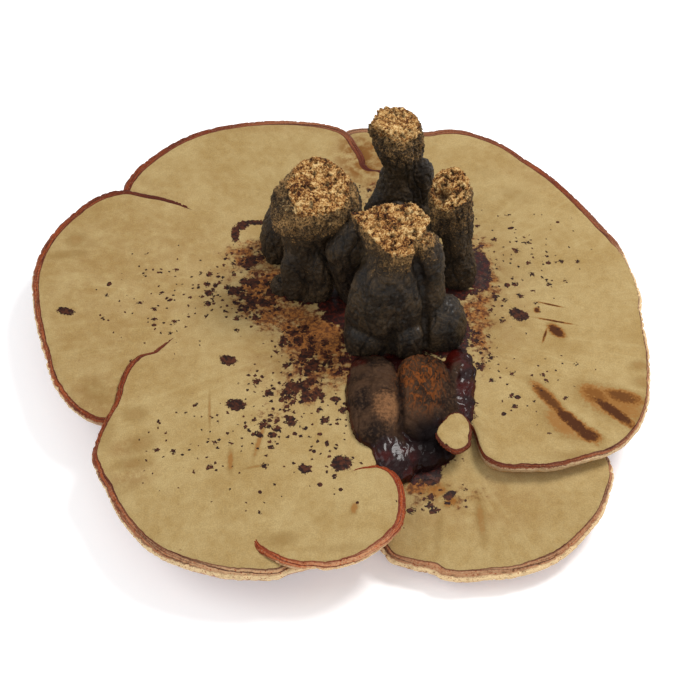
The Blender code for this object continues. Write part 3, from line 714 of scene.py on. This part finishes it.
capLook = {   # an edge is how ragged and how soft it is
    "cloudSize": 38.0, "speckle": 0.20, "blotSpacings": (5.2, 11.0), "smearEdge": (0.42, 0.60),
    "markEdge": (0.7, 0.08), "roughness": 0.80, "gloss": 0.42, "bump": 0.8,
}


def markMask(spot, mark, edge):   # 1 inside a mark and 0 outside it
    x, y, halfX, halfY, turn = mark
    return place(roundMark, {
        "Vector": spot, "Centre": (x, y, 0.0), "Half Size": (halfX, halfY, 1000.0),
        "Turn": -radians(turn), "Ragged": edge[0], "Soft": edge[1]})["Mask"]


def capMaterial(name, marks, smearList, colours):
    material, tree, spot = newFinish(name, coatRoughness=0.22, specular=0.15)
    across, band, cream, worn, rimDark = attributes(tree, "across", "band", "cream", "worn", "rimDark")
    density, rusty, wet, aged = attributes(tree, "spatter", "rust", "lacquer", "brown")
    flow = place(growthFlow, {"Vector": spot, "Hub": plate["hub"]})["Vector"]
    base = place(softMottle, {"Vector": spot, "Pale": colours["pale"], "Deep": colours["deep"],
                              "Cloud Size": capLook["cloudSize"], "Speckle": capLook["speckle"]})
    streaks = noiseOf(flow, 0.22, 4.0, 0.6)
    colour = blend(times(ramp01(streaks, 0.52, 0.72), 0.22), base["Colour"], colours["faint"])
    colour = blend(times(ramp01(streaks, 0.44, 0.30), 0.20), colour, colours["bright"])
    ragged = noiseOf(spot, 0.13, 5.0, 0.62)
    crumbs = noiseOf(spot, 0.42, 4.0, 0.62)
    brown = times(aged, ramp01(ragged, 0.30, 0.62))
    colour = blend(times(brown, 0.8), colour, colours["aged"])
    patchy = timesPlus(crumbs, 0.5, times(ragged, 0.8))
    rust = times(ramp01(timesPlus(rusty, 0.42, patchy), 0.80, 1.02), 0.92)
    colour = blend(rust, colour, blend(ramp01(crumbs, 0.42, 0.58), colours["rust"], colours["rustDark"]))
    smeared = 0.0
    for *mark, strength in smearList:
        smeared = larger(smeared, times(markMask(spot, mark, capLook["smearEdge"]), strength))
    smeared = times(smeared, ramp01(crumbs, 0.10, 0.42))
    smearTone = blend(ramp01(smeared, 0.35, 0.60), colours["olive"], colours["ochre"])
    smearTone = blend(ramp01(smeared, 0.62, 1.0), smearTone, colours["smear"])
    colour = blend(times(smeared, 1.3), colour, smearTone)
    dark = 0.0
    for spacing in capLook["blotSpacings"]:
        dark = larger(dark, place(spatter, {"Vector": spot, "Density": density, "Cell": spacing})["Mask"])
    for mark in marks:
        dark = larger(dark, markMask(spot, mark, capLook["markEdge"]))
    spread = timesPlus(ragged, 1.5, times(crumbs, 0.5))
    lacquer = ramp01(plus(wet, spread), 1.50, 1.62)
    lacquerTone = blend(ramp01(crumbs, 0.44, 0.66), colours["lacquer"], colours["lacquerLight"])
    spotTone = blend(ramp01(crumbs, 0.40, 0.64), colours["spot"], colours["spotLight"])
    colour = blend(dark, blend(lacquer, colour, lacquerTone), spotTone)
    rim = place(rimLayers, {"Vector": spot, "Across": across, "Band": band, "Cream": cream, "Worn": worn,
                            "Darkness": rimDark, "Brown": colours["brown"], "Dark": colours["dark"],
                            "Edge": colours["edge"]})
    colour = blend(rim["Mask"], colour, rim["Colour"])
    depth = times(across, -1.0)
    skin = place(capSkin, {"Vector": spot, "Depth": minus(depth, 3.0)})
    under = ramp01(timesPlus(ragged, 2.0, depth), 3.6, 4.8)
    colour = blend(under, colour, skin["Colour"])
    gloss = larger(under, lacquer)
    rough = capLook["roughness"]
    for mask, drop in ((dark, 0.25), (rim["Mask"], 0.30), (gloss, 0.15)):
        rough = minus(rough, times(mask, drop))
    height = times(base["Height"], 0.10)
    for relief, share in ((streaks, 0.12), (dark, 0.16), (times(gloss, crumbs), 1.1),
                          (times(rim["Mask"], rim["Height"]), 0.5), (times(under, skin["Height"]), 0.35)):
        height = timesPlus(relief, share, height)
    return dress(material, colour, rough, times(gloss, capLook["gloss"]), height, mm, capLook["bump"])


for number, (lobeName, lobe) in enumerate(lobes.items()):
    tones = foldColours if lobeName == "frontFold" else capColours
    lobeFinish = capMaterial(f"{lobeName}Finish", darkMarks[lobeName], smears.get(lobeName, []), tones)
    addPiece(lobeName, lobeMesh(lobeName, lobe, 3.7 * number + 1.3), lobeFinish, lobe["replaces"])

# The stems

# A column is a stack of rings: height, centre x and y, half width in x and y. The first column ends in the
# cut: a point on its plane, its rise per mm to the back and to the right, how far the fraying runs down
# and the half widths of the pale end. A knob is a centre, half sizes and, where it needs them, turns in
# degrees and how boxy it is. A hole is a centre and radius, and a groove runs between two places.
stems = {
    "leftStem": dict(
        replaces="stem_left", voxel=0.74, seed=3.1, flecked=0.52, smoothing=12, roughness=1.0,
        columns=[[
            (40, -19, 28, 20, 18), (50, -19.5, 28, 17, 16), (68, -19.5, 27, 15, 14.5),
            (86, -19.5, 27, 15, 14.5), (95, -19, 27, 17, 16), (102, -18, 27, 21.5, 19),
            (110, -14.5, 27, 27.5, 22.5), (119, -13, 27, 28, 23), (127, -11.5, 27, 24, 21.5),
            (132, -10, 26.5, 18.5, 20)]],
        cut=((-10, 26.5, 132), (0.30, 0.02), 58, (18, 22)),
        knobs=[((-37, 58, 60), (14, 15, 25), (0, 8, 0)), ((-36, 24, 44), (8, 8, 9)),
               ((5, 38, 99), (12, 13, 25)), ((-27, 17, 62), (9, 8, 22)),
               ((-11, 17, 58), (9, 8, 24))]),
    "backStem": dict(
        replaces="stem_back", voxel=0.68, seed=7.4, flecked=0.34, smoothing=12, roughness=1.15,
        columns=[[
            (40, 45, 87, 22, 19), (55, 45, 87, 20.5, 18), (70, 45, 86, 20, 17.5), (82, 45, 86, 16.5, 15),
            (92, 44, 86, 13, 13), (100, 44, 86, 13, 13), (108, 43, 86, 15, 14.5), (116, 41.5, 86, 16.5, 15.5),
            (126, 41, 88, 16.5, 15.5), (134, 39.5, 90, 13.5, 12.5)]],
        cut=((40, 90, 134), (0.05, -0.08), 44, (16, 14)),
        knobs=[((57, 83, 84), (9.5, 9, 21)), ((28, 87, 128), (6, 5, 6)),
               ((30, 78, 58), (10, 10, 22)), ((42, 72, 60), (8, 8, 20))]),
    "rightStem": dict(
        replaces="stem_right", voxel=0.6, seed=11.9, flecked=0.52, smoothing=10, roughness=1.1,
        columns=[[
            (40, 82, 36, 13, 13), (50, 83, 35, 11.5, 12.5), (62, 82.5, 35, 9.5, 11), (76, 80.5, 35, 9.5, 11),
            (90, 79, 36, 10.5, 11.5), (100, 77, 38, 12.5, 13), (108, 75, 39, 14, 14), (114, 74, 40, 13.5, 14),
            (119, 74, 41.5, 11.5, 12.5)]],
        cut=((74, 41.5, 119), (0.34, 0.20), 56, (12.5, 14)),
        knobs=[((87, 31, 54), (6, 8, 14)), ((68, 33, 98), (7, 7, 14))],
        holes=[((68.5, 36, 117), 4.2)]),
    "frontStems": dict(
        replaces="stem_front", voxel=0.78, seed=5.6, flecked=0.2, smoothing=6, roughness=0.9,
        columns=[
            [(40, 32, -19, 26, 15), (50, 32, -19.5, 26, 15.5), (60, 32, -20.5, 25.5, 16),
             (72, 32.5, -21.5, 25, 16.5), (86, 33, -21.5, 23.5, 16.5), (98, 34, -21.5, 20.5, 15.5),
             (106, 35, -21.5, 17, 14), (113, 35.5, -22.5, 13.5, 12), (120, 37, -24, 10.5, 9)],
            [(46, 62, -15, 13, 12), (60, 60, -15, 12, 12), (84, 58, -15, 11.5, 11), (101, 58, -15, 11, 11),
             (112, 57, -16, 10.5, 10.5), (120, 56, -17, 9.5, 9.5), (127, 55, -17, 7, 7),
             (131, 55, -17, 3, 3)],
            [(44, 11.5, 17, 10, 10), (60, 9.5, 15, 11, 11), (84, 7, 11, 12.5, 12), (97, 6.5, 9, 13, 12),
             (108, 9.5, 8, 10, 10), (116, 12, 6, 6.5, 7), (122, 13.5, 5, 2.5, 3)]],
        cut=((35, -18, 133), (0.24, 0.10), 34, (31, 27)),
        knobs=[((68, -18, 51), (16.5, 16, 24)), ((47, -27, 50), (11, 13, 17), (0, 0, 0), 2.8),
               ((20.5, -25, 47), (14.5, 12.5, 15), (0, 0, 0), 3.4)],
        grooves=[((36, -39, 40), (36.5, -36, 78)), ((58, -38, 42), (57.5, -27, 66)),
                 ((57.5, -27, 66), (55, -25, 98)), ((55, -25, 98), (49.5, -25, 118))],
        heads=[dict(
            outline=[(9.9, -0.5), (19.2, 0.6), (24, 2.0), (29.6, 3.2), (38.7, 2.4), (47.1, 4.3), (53.2, -2.3),
                     (58.8, -10.1), (53.9, -18.3), (48.4, -26), (47.7, -32.6), (41, -34.2), (34.6, -33.6),
                     (25.1, -22.8), (19.2, -15.4), (14.5, -8)],
            foot=(36, -21, 100), share=0.55)]),
}
barkRelief = {   # depths in millimetres
    "bark": 1.1, "creases": 0.9, "grain": 0.35, "fibres": 0.9, "pits": 1.9, "swells": 1.7,
    "frayFibres": 0.55, "frayGrain": 0.9, "hole": 6, "groove": 2.4, "grooveWidth": 3.0,
}


def ringAt(rings, height):   # smoothly between the rings given
    last = len(rings) - 1
    upper = next((i for i in range(1, last + 1) if rings[i][0] >= height), last)
    lower = upper - 1
    t = (height - rings[lower][0]) / (rings[upper][0] - rings[lower][0])
    values = []
    for axis in range(1, 5):
        p0, p1 = rings[max(lower - 1, 0)][axis], rings[lower][axis]
        p2, p3 = rings[upper][axis], rings[min(upper + 1, last)][axis]
        values.append(p1 + 0.5 * t * (p2 - p0 + t * (2 * p0 - 5 * p1 + 4 * p2 - p3
                                                   + t * (3 * (p1 - p2) + p3 - p0))))
    return values


def joinTo(whole, part):   # adds the shapes in one bmesh to another
    bmesh.ops.recalc_face_normals(part, faces=part.faces)
    carrier = bpy.data.meshes.new("part")
    part.to_mesh(carrier)
    part.free()
    whole.from_mesh(carrier)
    bpy.data.meshes.remove(carrier)


def addColumn(bm, rings, tilt, seed):   # a cylinder warped to its rings, its top end slanted by the tilt
    part = bmesh.new()
    bmesh.ops.create_cone(part, cap_ends=True, segments=64, radius1=1, radius2=1, depth=1)
    upright = [e for e in part.edges if abs(e.verts[0].co.z - e.verts[1].co.z) > 0.5]
    bmesh.ops.subdivide_edges(part, edges=upright, cuts=40)
    bottom, top = rings[0][0], rings[-1][0]
    for vert in part.verts:
        share = vert.co.z + 0.5
        height = bottom + (top - bottom) * share
        turn = atan2(vert.co.y, vert.co.x)
        x, y, halfX, halfY = ringAt(rings, height)
        knot = noise.noise(Vector((cos(turn) * 1.3, sin(turn) * 1.3, height / 24 + seed)))
        swell = 1 + 0.035 * (knot * 1.6 + 0.5 * sin(3 * turn + seed))
        reach = swell / hypot(cos(turn) / halfX, sin(turn) / halfY)
        slant = share ** 3 * (tilt[0] * sin(turn) + tilt[1] * cos(turn)) * reach
        vert.co = (x + cos(turn) * reach, y + sin(turn) * reach, height + slant)
    joinTo(bm, part)


def addKnob(bm, centre, halfSizes, turns=(0, 0, 0), blockiness=2.3):   # a ball pressed towards a box
    part = bmesh.new()
    bmesh.ops.create_icosphere(part, subdivisions=5, radius=1)
    turned = Euler([radians(t) for t in turns]).to_matrix()
    for vert in part.verts:
        reach = sum(abs(c) ** blockiness for c in vert.co) ** (-1 / blockiness)
        sized = Vector([c * reach * half for c, half in zip(vert.co, halfSizes)])
        vert.co = Vector(centre) + turned @ sized
    joinTo(bm, part)


def addHead(bm, cutPlane, outline, foot, share):   # a head that widens from its foot to the cut's outline
    centre, tilt = cutPlane
    part = bmesh.new()
    rim = [part.verts.new((x, y, centre[2] + tilt[0] * (y - centre[1]) + tilt[1] * (x - centre[0])))
           for x, y in outline]
    end = part.faces.new(rim)
    middle = end.calc_center_median()
    bmesh.ops.extrude_face_region(part, geom=[end])
    for vert in rim:
        offset = vert.co - middle
        vert.co = Vector(foot) + Vector((offset.x * share, offset.y * share, 0))
    joinTo(bm, part)


def remeshed(name, bm, voxel, smoothing):   # overlapping closed shapes grown into one skin
    bmesh.ops.scale(bm, verts=bm.verts, vec=(mm, mm, mm))
    rough = bpy.data.meshes.new(f"{name}Rough")
    bm.to_mesh(rough)
    bm.free()
    carrier = bpy.data.objects.new(f"{name}Rough", rough)
    bpy.context.scene.collection.objects.link(carrier)
    remesh = carrier.modifiers.new("oneSkin", "REMESH")
    remesh.mode = "VOXEL"
    remesh.voxel_size = voxel * mm
    soften = carrier.modifiers.new("soften", "SMOOTH")
    soften.factor = 0.5
    soften.iterations = smoothing
    graph = bpy.context.evaluated_depsgraph_get()
    mesh = bpy.data.meshes.new_from_object(carrier.evaluated_get(graph))
    mesh.name = name
    bpy.data.objects.remove(carrier)
    bpy.data.meshes.remove(rough)
    return mesh


def awayFrom(points, start, end):   # distance from a straight line between two places
    along = np.subtract(end, start)
    share = np.clip((points - start) @ along / (along @ along), 0, 1)
    return np.linalg.norm(points - start - share[:, None] * along, axis=1)


def wrinkled(x, y, z, scale):   # thin lines where smooth noise passes through 0
    return 1 - np.minimum(np.abs(noiseAt(x, y, z, scale, 3)) * 5, 1)


def stemMesh(name, stem, relief):
    bm = bmesh.new()
    centre, tilt, frayLength, halfEnd = stem["cut"]
    for number, rings in enumerate(stem["columns"]):
        addColumn(bm, rings, tilt if number == 0 else (0, 0), stem["seed"] + number)
    for knob in stem["knobs"]:
        addKnob(bm, *knob)
    for head in stem.get("heads", []):
        addHead(bm, (centre, tilt), **head)
    mesh = remeshed(name, bm, stem["voxel"], stem["smoothing"])
    points = readPlaces(mesh) / mm
    normals = readPlaces(mesh, "normal")
    x, y, z = points.T
    below = centre[2] + tilt[0] * (y - centre[1]) + tilt[1] * (x - centre[0]) - z
    aside = np.hypot((x - centre[0]) / halfEnd[0], (y - centre[1]) / halfEnd[1])
    ragged = noiseAt(x, y, z, 0.12, 3)
    near = smoothStep(aside, 2.4, 1.7)
    inEnd = smoothStep(aside + 0.12 * ragged, 1.12, 0.96)
    cutEnd = smoothStep(below + 3.0 * ragged, 5.5, 3.0) * smoothStep(normals[:, 2], 0.30, 0.60) * inEnd
    fray = np.maximum(smoothStep(below + 9 * ragged, frayLength, 2) * near, stem["flecked"])
    bark = noiseAt(x, y, z * 0.55, 0.10, 4)
    creases = wrinkled(x, y, z * 0.35, 0.085)
    grain = noiseAt(x, y, z, 0.42, 3)
    pits = smoothStep(noiseAt(x, y, z, 0.34, 4) - 0.25 * noiseAt(x, y, z, 0.10, 2), -0.16, -0.60)
    fibres = 1 - np.minimum(np.abs(noiseAt(x, y, z * 0.5, 0.6, 3)) * 2.4, 1)
    swells = noiseAt(x, y, z, 0.07, 3)
    # the hole and the pits are also darkened in the finish, as painted shade
    hollow = np.zeros_like(x)
    for holeCentre, radius in stem.get("holes", []):
        hollow = np.maximum(hollow, np.exp(-(np.linalg.norm(points - holeCentre, axis=1) / radius) ** 4))
    groove = np.zeros_like(x)
    for start, end in stem.get("grooves", []):
        away = awayFrom(points, start, end) / relief["grooveWidth"]
        groove = np.maximum(groove, np.exp(-away ** 2))
    push = relief["bark"] * bark - relief["creases"] * creases + relief["grain"] * grain
    push = stem["roughness"] * push * (1 - cutEnd)
    push = push + cutEnd * (relief["fibres"] * fibres - relief["pits"] * pits + relief["swells"] * swells)
    push = push + fray * (1 - cutEnd) * (relief["frayFibres"] * fibres + relief["frayGrain"] * grain)
    push = push - relief["hole"] * hollow - relief["groove"] * groove
    # crease marks the creases and grooves, and pit the cut's pits and the hole, where the bark finish paints
    # shade
    return writeMesh(mesh, points + normals * push[:, None], {
        "cutEnd": cutEnd, "fray": fray, "pitShade": np.maximum(pits * cutEnd, hollow),
        "creaseShade": np.maximum(creases * (1 - cutEnd), 0.8 * groove)})


def barkGrainGroup():   # dark satin bark with a fine grain and pale flecks
    group, source, result = newGroup(
        "barkGrain", {"Flecks": "f", "Dark": "c", "Light": "c", "Fleck Colour": "c"},
        {"Colour": "c", "Height": "f"})
    spot = source["Vector"]
    broad = noiseOf(spot, 0.06, 4.0, 0.6)
    grain = noiseOf(spot, 0.6, 5.0, 0.72)
    mixed = timesPlus(grain, 0.7, times(broad, 0.5))
    colour = blend(ramp01(mixed, 0.50, 0.76), source["Dark"], source["Light"])
    bits = noiseOf(spot, 0.85, 4.0, 0.65, 0.6)
    level = timesPlus(source["Flecks"], -0.36, 0.80)
    fleck = ramp01(minus(bits, level), -0.03, 0.06)
    fleckTone = blend(ramp01(broad, 0.35, 0.65), source["Light"], source["Fleck Colour"])
    colour = blend(times(fleck, 0.85), colour, fleckTone)
    return sendOut(group, result, {"Colour": colour, "Height": timesPlus(fleck, 0.5, grain)})


def cutFibreGroup():   # the torn, fibrous flesh of a cut end with its pits
    group, source, result = newGroup("cutFibre", {}, {"Colour": "c", "Height": "f"})
    spot = source["Vector"]
    strands = noiseOf(spot, 0.30, 5.0, 0.66, 1.2)
    fine = noiseOf(spot, 1.1, 4.0, 0.65, 0.8)
    patchy = noiseOf(spot, 0.055, 2.0)
    level = plus(timesPlus(fine, 0.45, times(strands, 0.62)), timesPlus(patchy, 0.20, -0.098))
    # colour follows the same level as the relief: the lowest places go near black, painted shade in the pits,
    # and the rest is the flesh's own brown, tan and pale fibre colour
    fleshToneAndPitShade = colourRamp(level, [(0.42, (14, 6, 3)), (0.47, (92, 47, 16)), (0.515, (152, 101, 48)),
                              (0.565, (190, 146, 86)), (0.64, (226, 194, 137))])
    return sendOut(group, result, {"Colour": fleshToneAndPitShade, "Height": level})


barkGrain = barkGrainGroup()
cutFibre = cutFibreGroup()
# the crease and pit colours are painted shade: near black for the creases, grooves, pits and hole
barkColours = {"dark": srgb(14, 10, 7), "light": srgb(68, 53, 35), "fleck": srgb(176, 136, 84),
               "pitShade": srgb(24, 11, 6), "creaseShade": srgb(8, 5, 4)}
barkLook = {"dust": 0.07, "creaseShade": 0.7, "pitShade": 0.85, "roughness": 0.44, "dulled": 0.36, "gloss": 0.16}


def stemMaterial(name, colours):
    material, tree, spot = newFinish(name, coatRoughness=0.25, specular=0.25)
    fray, cut, creaseShading, pitShading = attributes(tree, "fray", "cutEnd", "creaseShade", "pitShade")
    bark = place(barkGrain, {"Vector": spot, "Flecks": fray, "Dark": colours["dark"],
                             "Light": colours["light"], "Fleck Colour": colours["fleck"]})
    fibre = place(cutFibre, {"Vector": spot})
    # partly the pale dust of the frayed bark below a cut, partly painted light: each whole stem is lifted a
    # little towards the fleck colour by its flecked share
    dustAndPaintedLight = blend(times(fray, barkLook["dust"]), bark["Colour"], colours["fleck"])
    # painted shade: creases and grooves darkened towards near black
    barkWithCreaseShade = blend(times(creaseShading, barkLook["creaseShade"]), dustAndPaintedLight, colours["creaseShade"])
    cutMask = ramp01(timesPlus(minus(bark["Height"], 0.6), 0.9, cut), 0.30, 0.62)
    colour = blend(cutMask, barkWithCreaseShade, fibre["Colour"])
    # painted shade: the pits of the cut end and the hole darkened
    colour = blend(times(pitShading, barkLook["pitShade"]), colour, colours["pitShade"])
    dull = larger(cutMask, fray)
    rough = timesPlus(bark["Height"], 0.1, timesPlus(dull, barkLook["dulled"], barkLook["roughness"]))
    wet = times(minus(1.0, dull), barkLook["gloss"])
    height = blend(cutMask, bark["Height"], times(fibre["Height"], 2.4))
    return dress(material, colour, rough, wet, height, 0.8 * mm, 1.0)


barkFinish = stemMaterial("stemBark", barkColours)
for stemName, stem in stems.items():
    addPiece(stemName, stemMesh(stemName, stem, barkRelief), barkFinish, stem["replaces"])

# The foot

footForm = {   # knobs are like the stems' and patches like the stains
    "voxel": 0.85, "smoothing": 7, "boxy": 2.7, "highest": 57.5,
    "lumps": 1.5, "creases": 0.9, "grain": 0.40, "scales": 0.9, "smoothed": 0.5,
    "knobs": [
        ((47, -68, 29), (42, 46, 15.5)),
        ((49, -101, 27.5), (29, 19.5, 13), (0, 0, 13)),
        ((25, -73, 38.5), (17.5, 37, 12.5), (0, -8, 6)),
        ((56, -71, 39), (18.5, 35, 12.5), (0, 6, 0)),
        ((36, -112, 33), (14, 17.5, 10.5), (16, 10, 14)),
        ((79, -60, 35.5), (11, 36, 10), (0, 14, -4)),
    ],
    "worn": [(33, -85, 15, 21, 6, 1.0)],
    "cracked": [(54, -62, 19, 34, 0, 1.0)],
    "red": [(34, -118, 20, 20, 10, 1.0), (68, -100, 18, 13, 30, 0.9), (83, -70, 12, 38, 0, 0.9),
            (4, -80, 9, 40, 0, 0.7), (14, -46, 18, 9, 0, 0.7)],
    # the shade patches are painted shade: the hollow between the pad ends and the crease where the pads meet
    "shade": [(60, -106, 22, 18, 0, 1.0), (41, -84, 4, 34, 0, 0.8)],
    "smooth": [(36, -114, 18, 20, 10, 1.0)],
}


def footMesh(name, look):
    bm = bmesh.new()
    for knob in look["knobs"]:
        addKnob(bm, *knob, blockiness=look["boxy"])
    mesh = remeshed(name, bm, look["voxel"], look["smoothing"])
    points = readPlaces(mesh) / mm
    normals = readPlaces(mesh, "normal")
    x, y, z = points.T
    lumps = noiseAt(x, y, z, 0.055, 4)
    creases = wrinkled(x, y * 0.5, z, 0.07)
    cracked = patchesAt(x, y, look["cracked"]) * smoothStep(normals[:, 2], 0.1, 0.6)
    scales = noiseAt(x * 1.3, y * 0.6, z, 0.30, 3)
    grain = noiseAt(x, y, z, 0.33, 3)
    push = look["lumps"] * lumps - look["creases"] * creases + look["grain"] * grain
    push = (1 - look["smoothed"] * patchesAt(x, y, look["smooth"])) * push + cracked * look["scales"] * scales
    moved = points + normals * push[:, None]
    moved[:, 2] = np.minimum(moved[:, 2], look["highest"])
    raised = z - plateTop(x, y)
    return writeMesh(mesh, moved, {
        "margin": np.maximum(patchesAt(x, y, look["red"]), smoothStep(raised, 7, 1)),
        "worn": patchesAt(x, y, look["worn"]) * smoothStep(normals[:, 2], 0.2, 0.7),
        "cracked": cracked, "shade": patchesAt(x, y, look["shade"])})


footColours = {
    "dark": srgb(26, 16, 11), "light": srgb(66, 46, 32), "grey": srgb(80, 58, 40), "red": srgb(56, 9, 5),
    "redDark": srgb(28, 6, 5), "crack": srgb(124, 66, 24), "worn": srgb(132, 92, 60), "shade": srgb(10, 3, 3),
}
footLook = {"dust": 0.6, "crack": 0.8, "worn": 0.9, "roughness": 0.68, "polished": -0.34, "gloss": 0.30}


def footMaterial(name, colours):
    material, tree, spot = newFinish(name, coatRoughness=0.17, specular=0.08)
    rubbed, cracked, atMargin, shade = attributes(tree, "worn", "cracked", "margin", "shade")
    broad = noiseOf(spot, 0.07, 4.0, 0.6)
    grain = noiseOf(spot, 0.5, 5.0, 0.68)
    colour = blend(ramp01(broad, 0.35, 0.65), colours["dark"], colours["light"])
    colour = blend(times(ramp01(grain, 0.45, 0.68), footLook["dust"]), colour, colours["grey"])
    strands = noiseOf(vectorCalc("MULTIPLY", spot, (1.3, 0.5, 1.0)), 0.28, 4.0, 0.6, 1.2)
    crack = times(ramp01(strands, 0.44, 0.58), cracked)
    colour = blend(times(crack, footLook["crack"]), colour, colours["crack"])
    worn = ramp01(timesPlus(rubbed, 0.6, grain), 0.76, 1.28)
    colour = blend(times(worn, footLook["worn"]), colour, colours["worn"])
    margin = ramp01(timesPlus(grain, 0.5, atMargin), 0.72, 1.05)
    redTone = blend(ramp01(broad, 0.42, 0.62), colours["redDark"], colours["red"])
    # painted shade: the hollow and the crease between the pads darkened to near black
    colour = blend(shade, blend(margin, colour, redTone), colours["shade"])
    rough = timesPlus(times(margin, minus(1.0, shade)), footLook["polished"], footLook["roughness"])
    coat = times(margin, timesPlus(shade, -0.28, footLook["gloss"]))
    return dress(material, colour, rough, coat, timesPlus(crack, 0.8, grain), 0.7 * mm, 0.8)


footFinish = footMaterial("footLacquer", footColours)
addPiece("lacquerFoot", footMesh("lacquerFoot", footForm), footFinish, "foot")
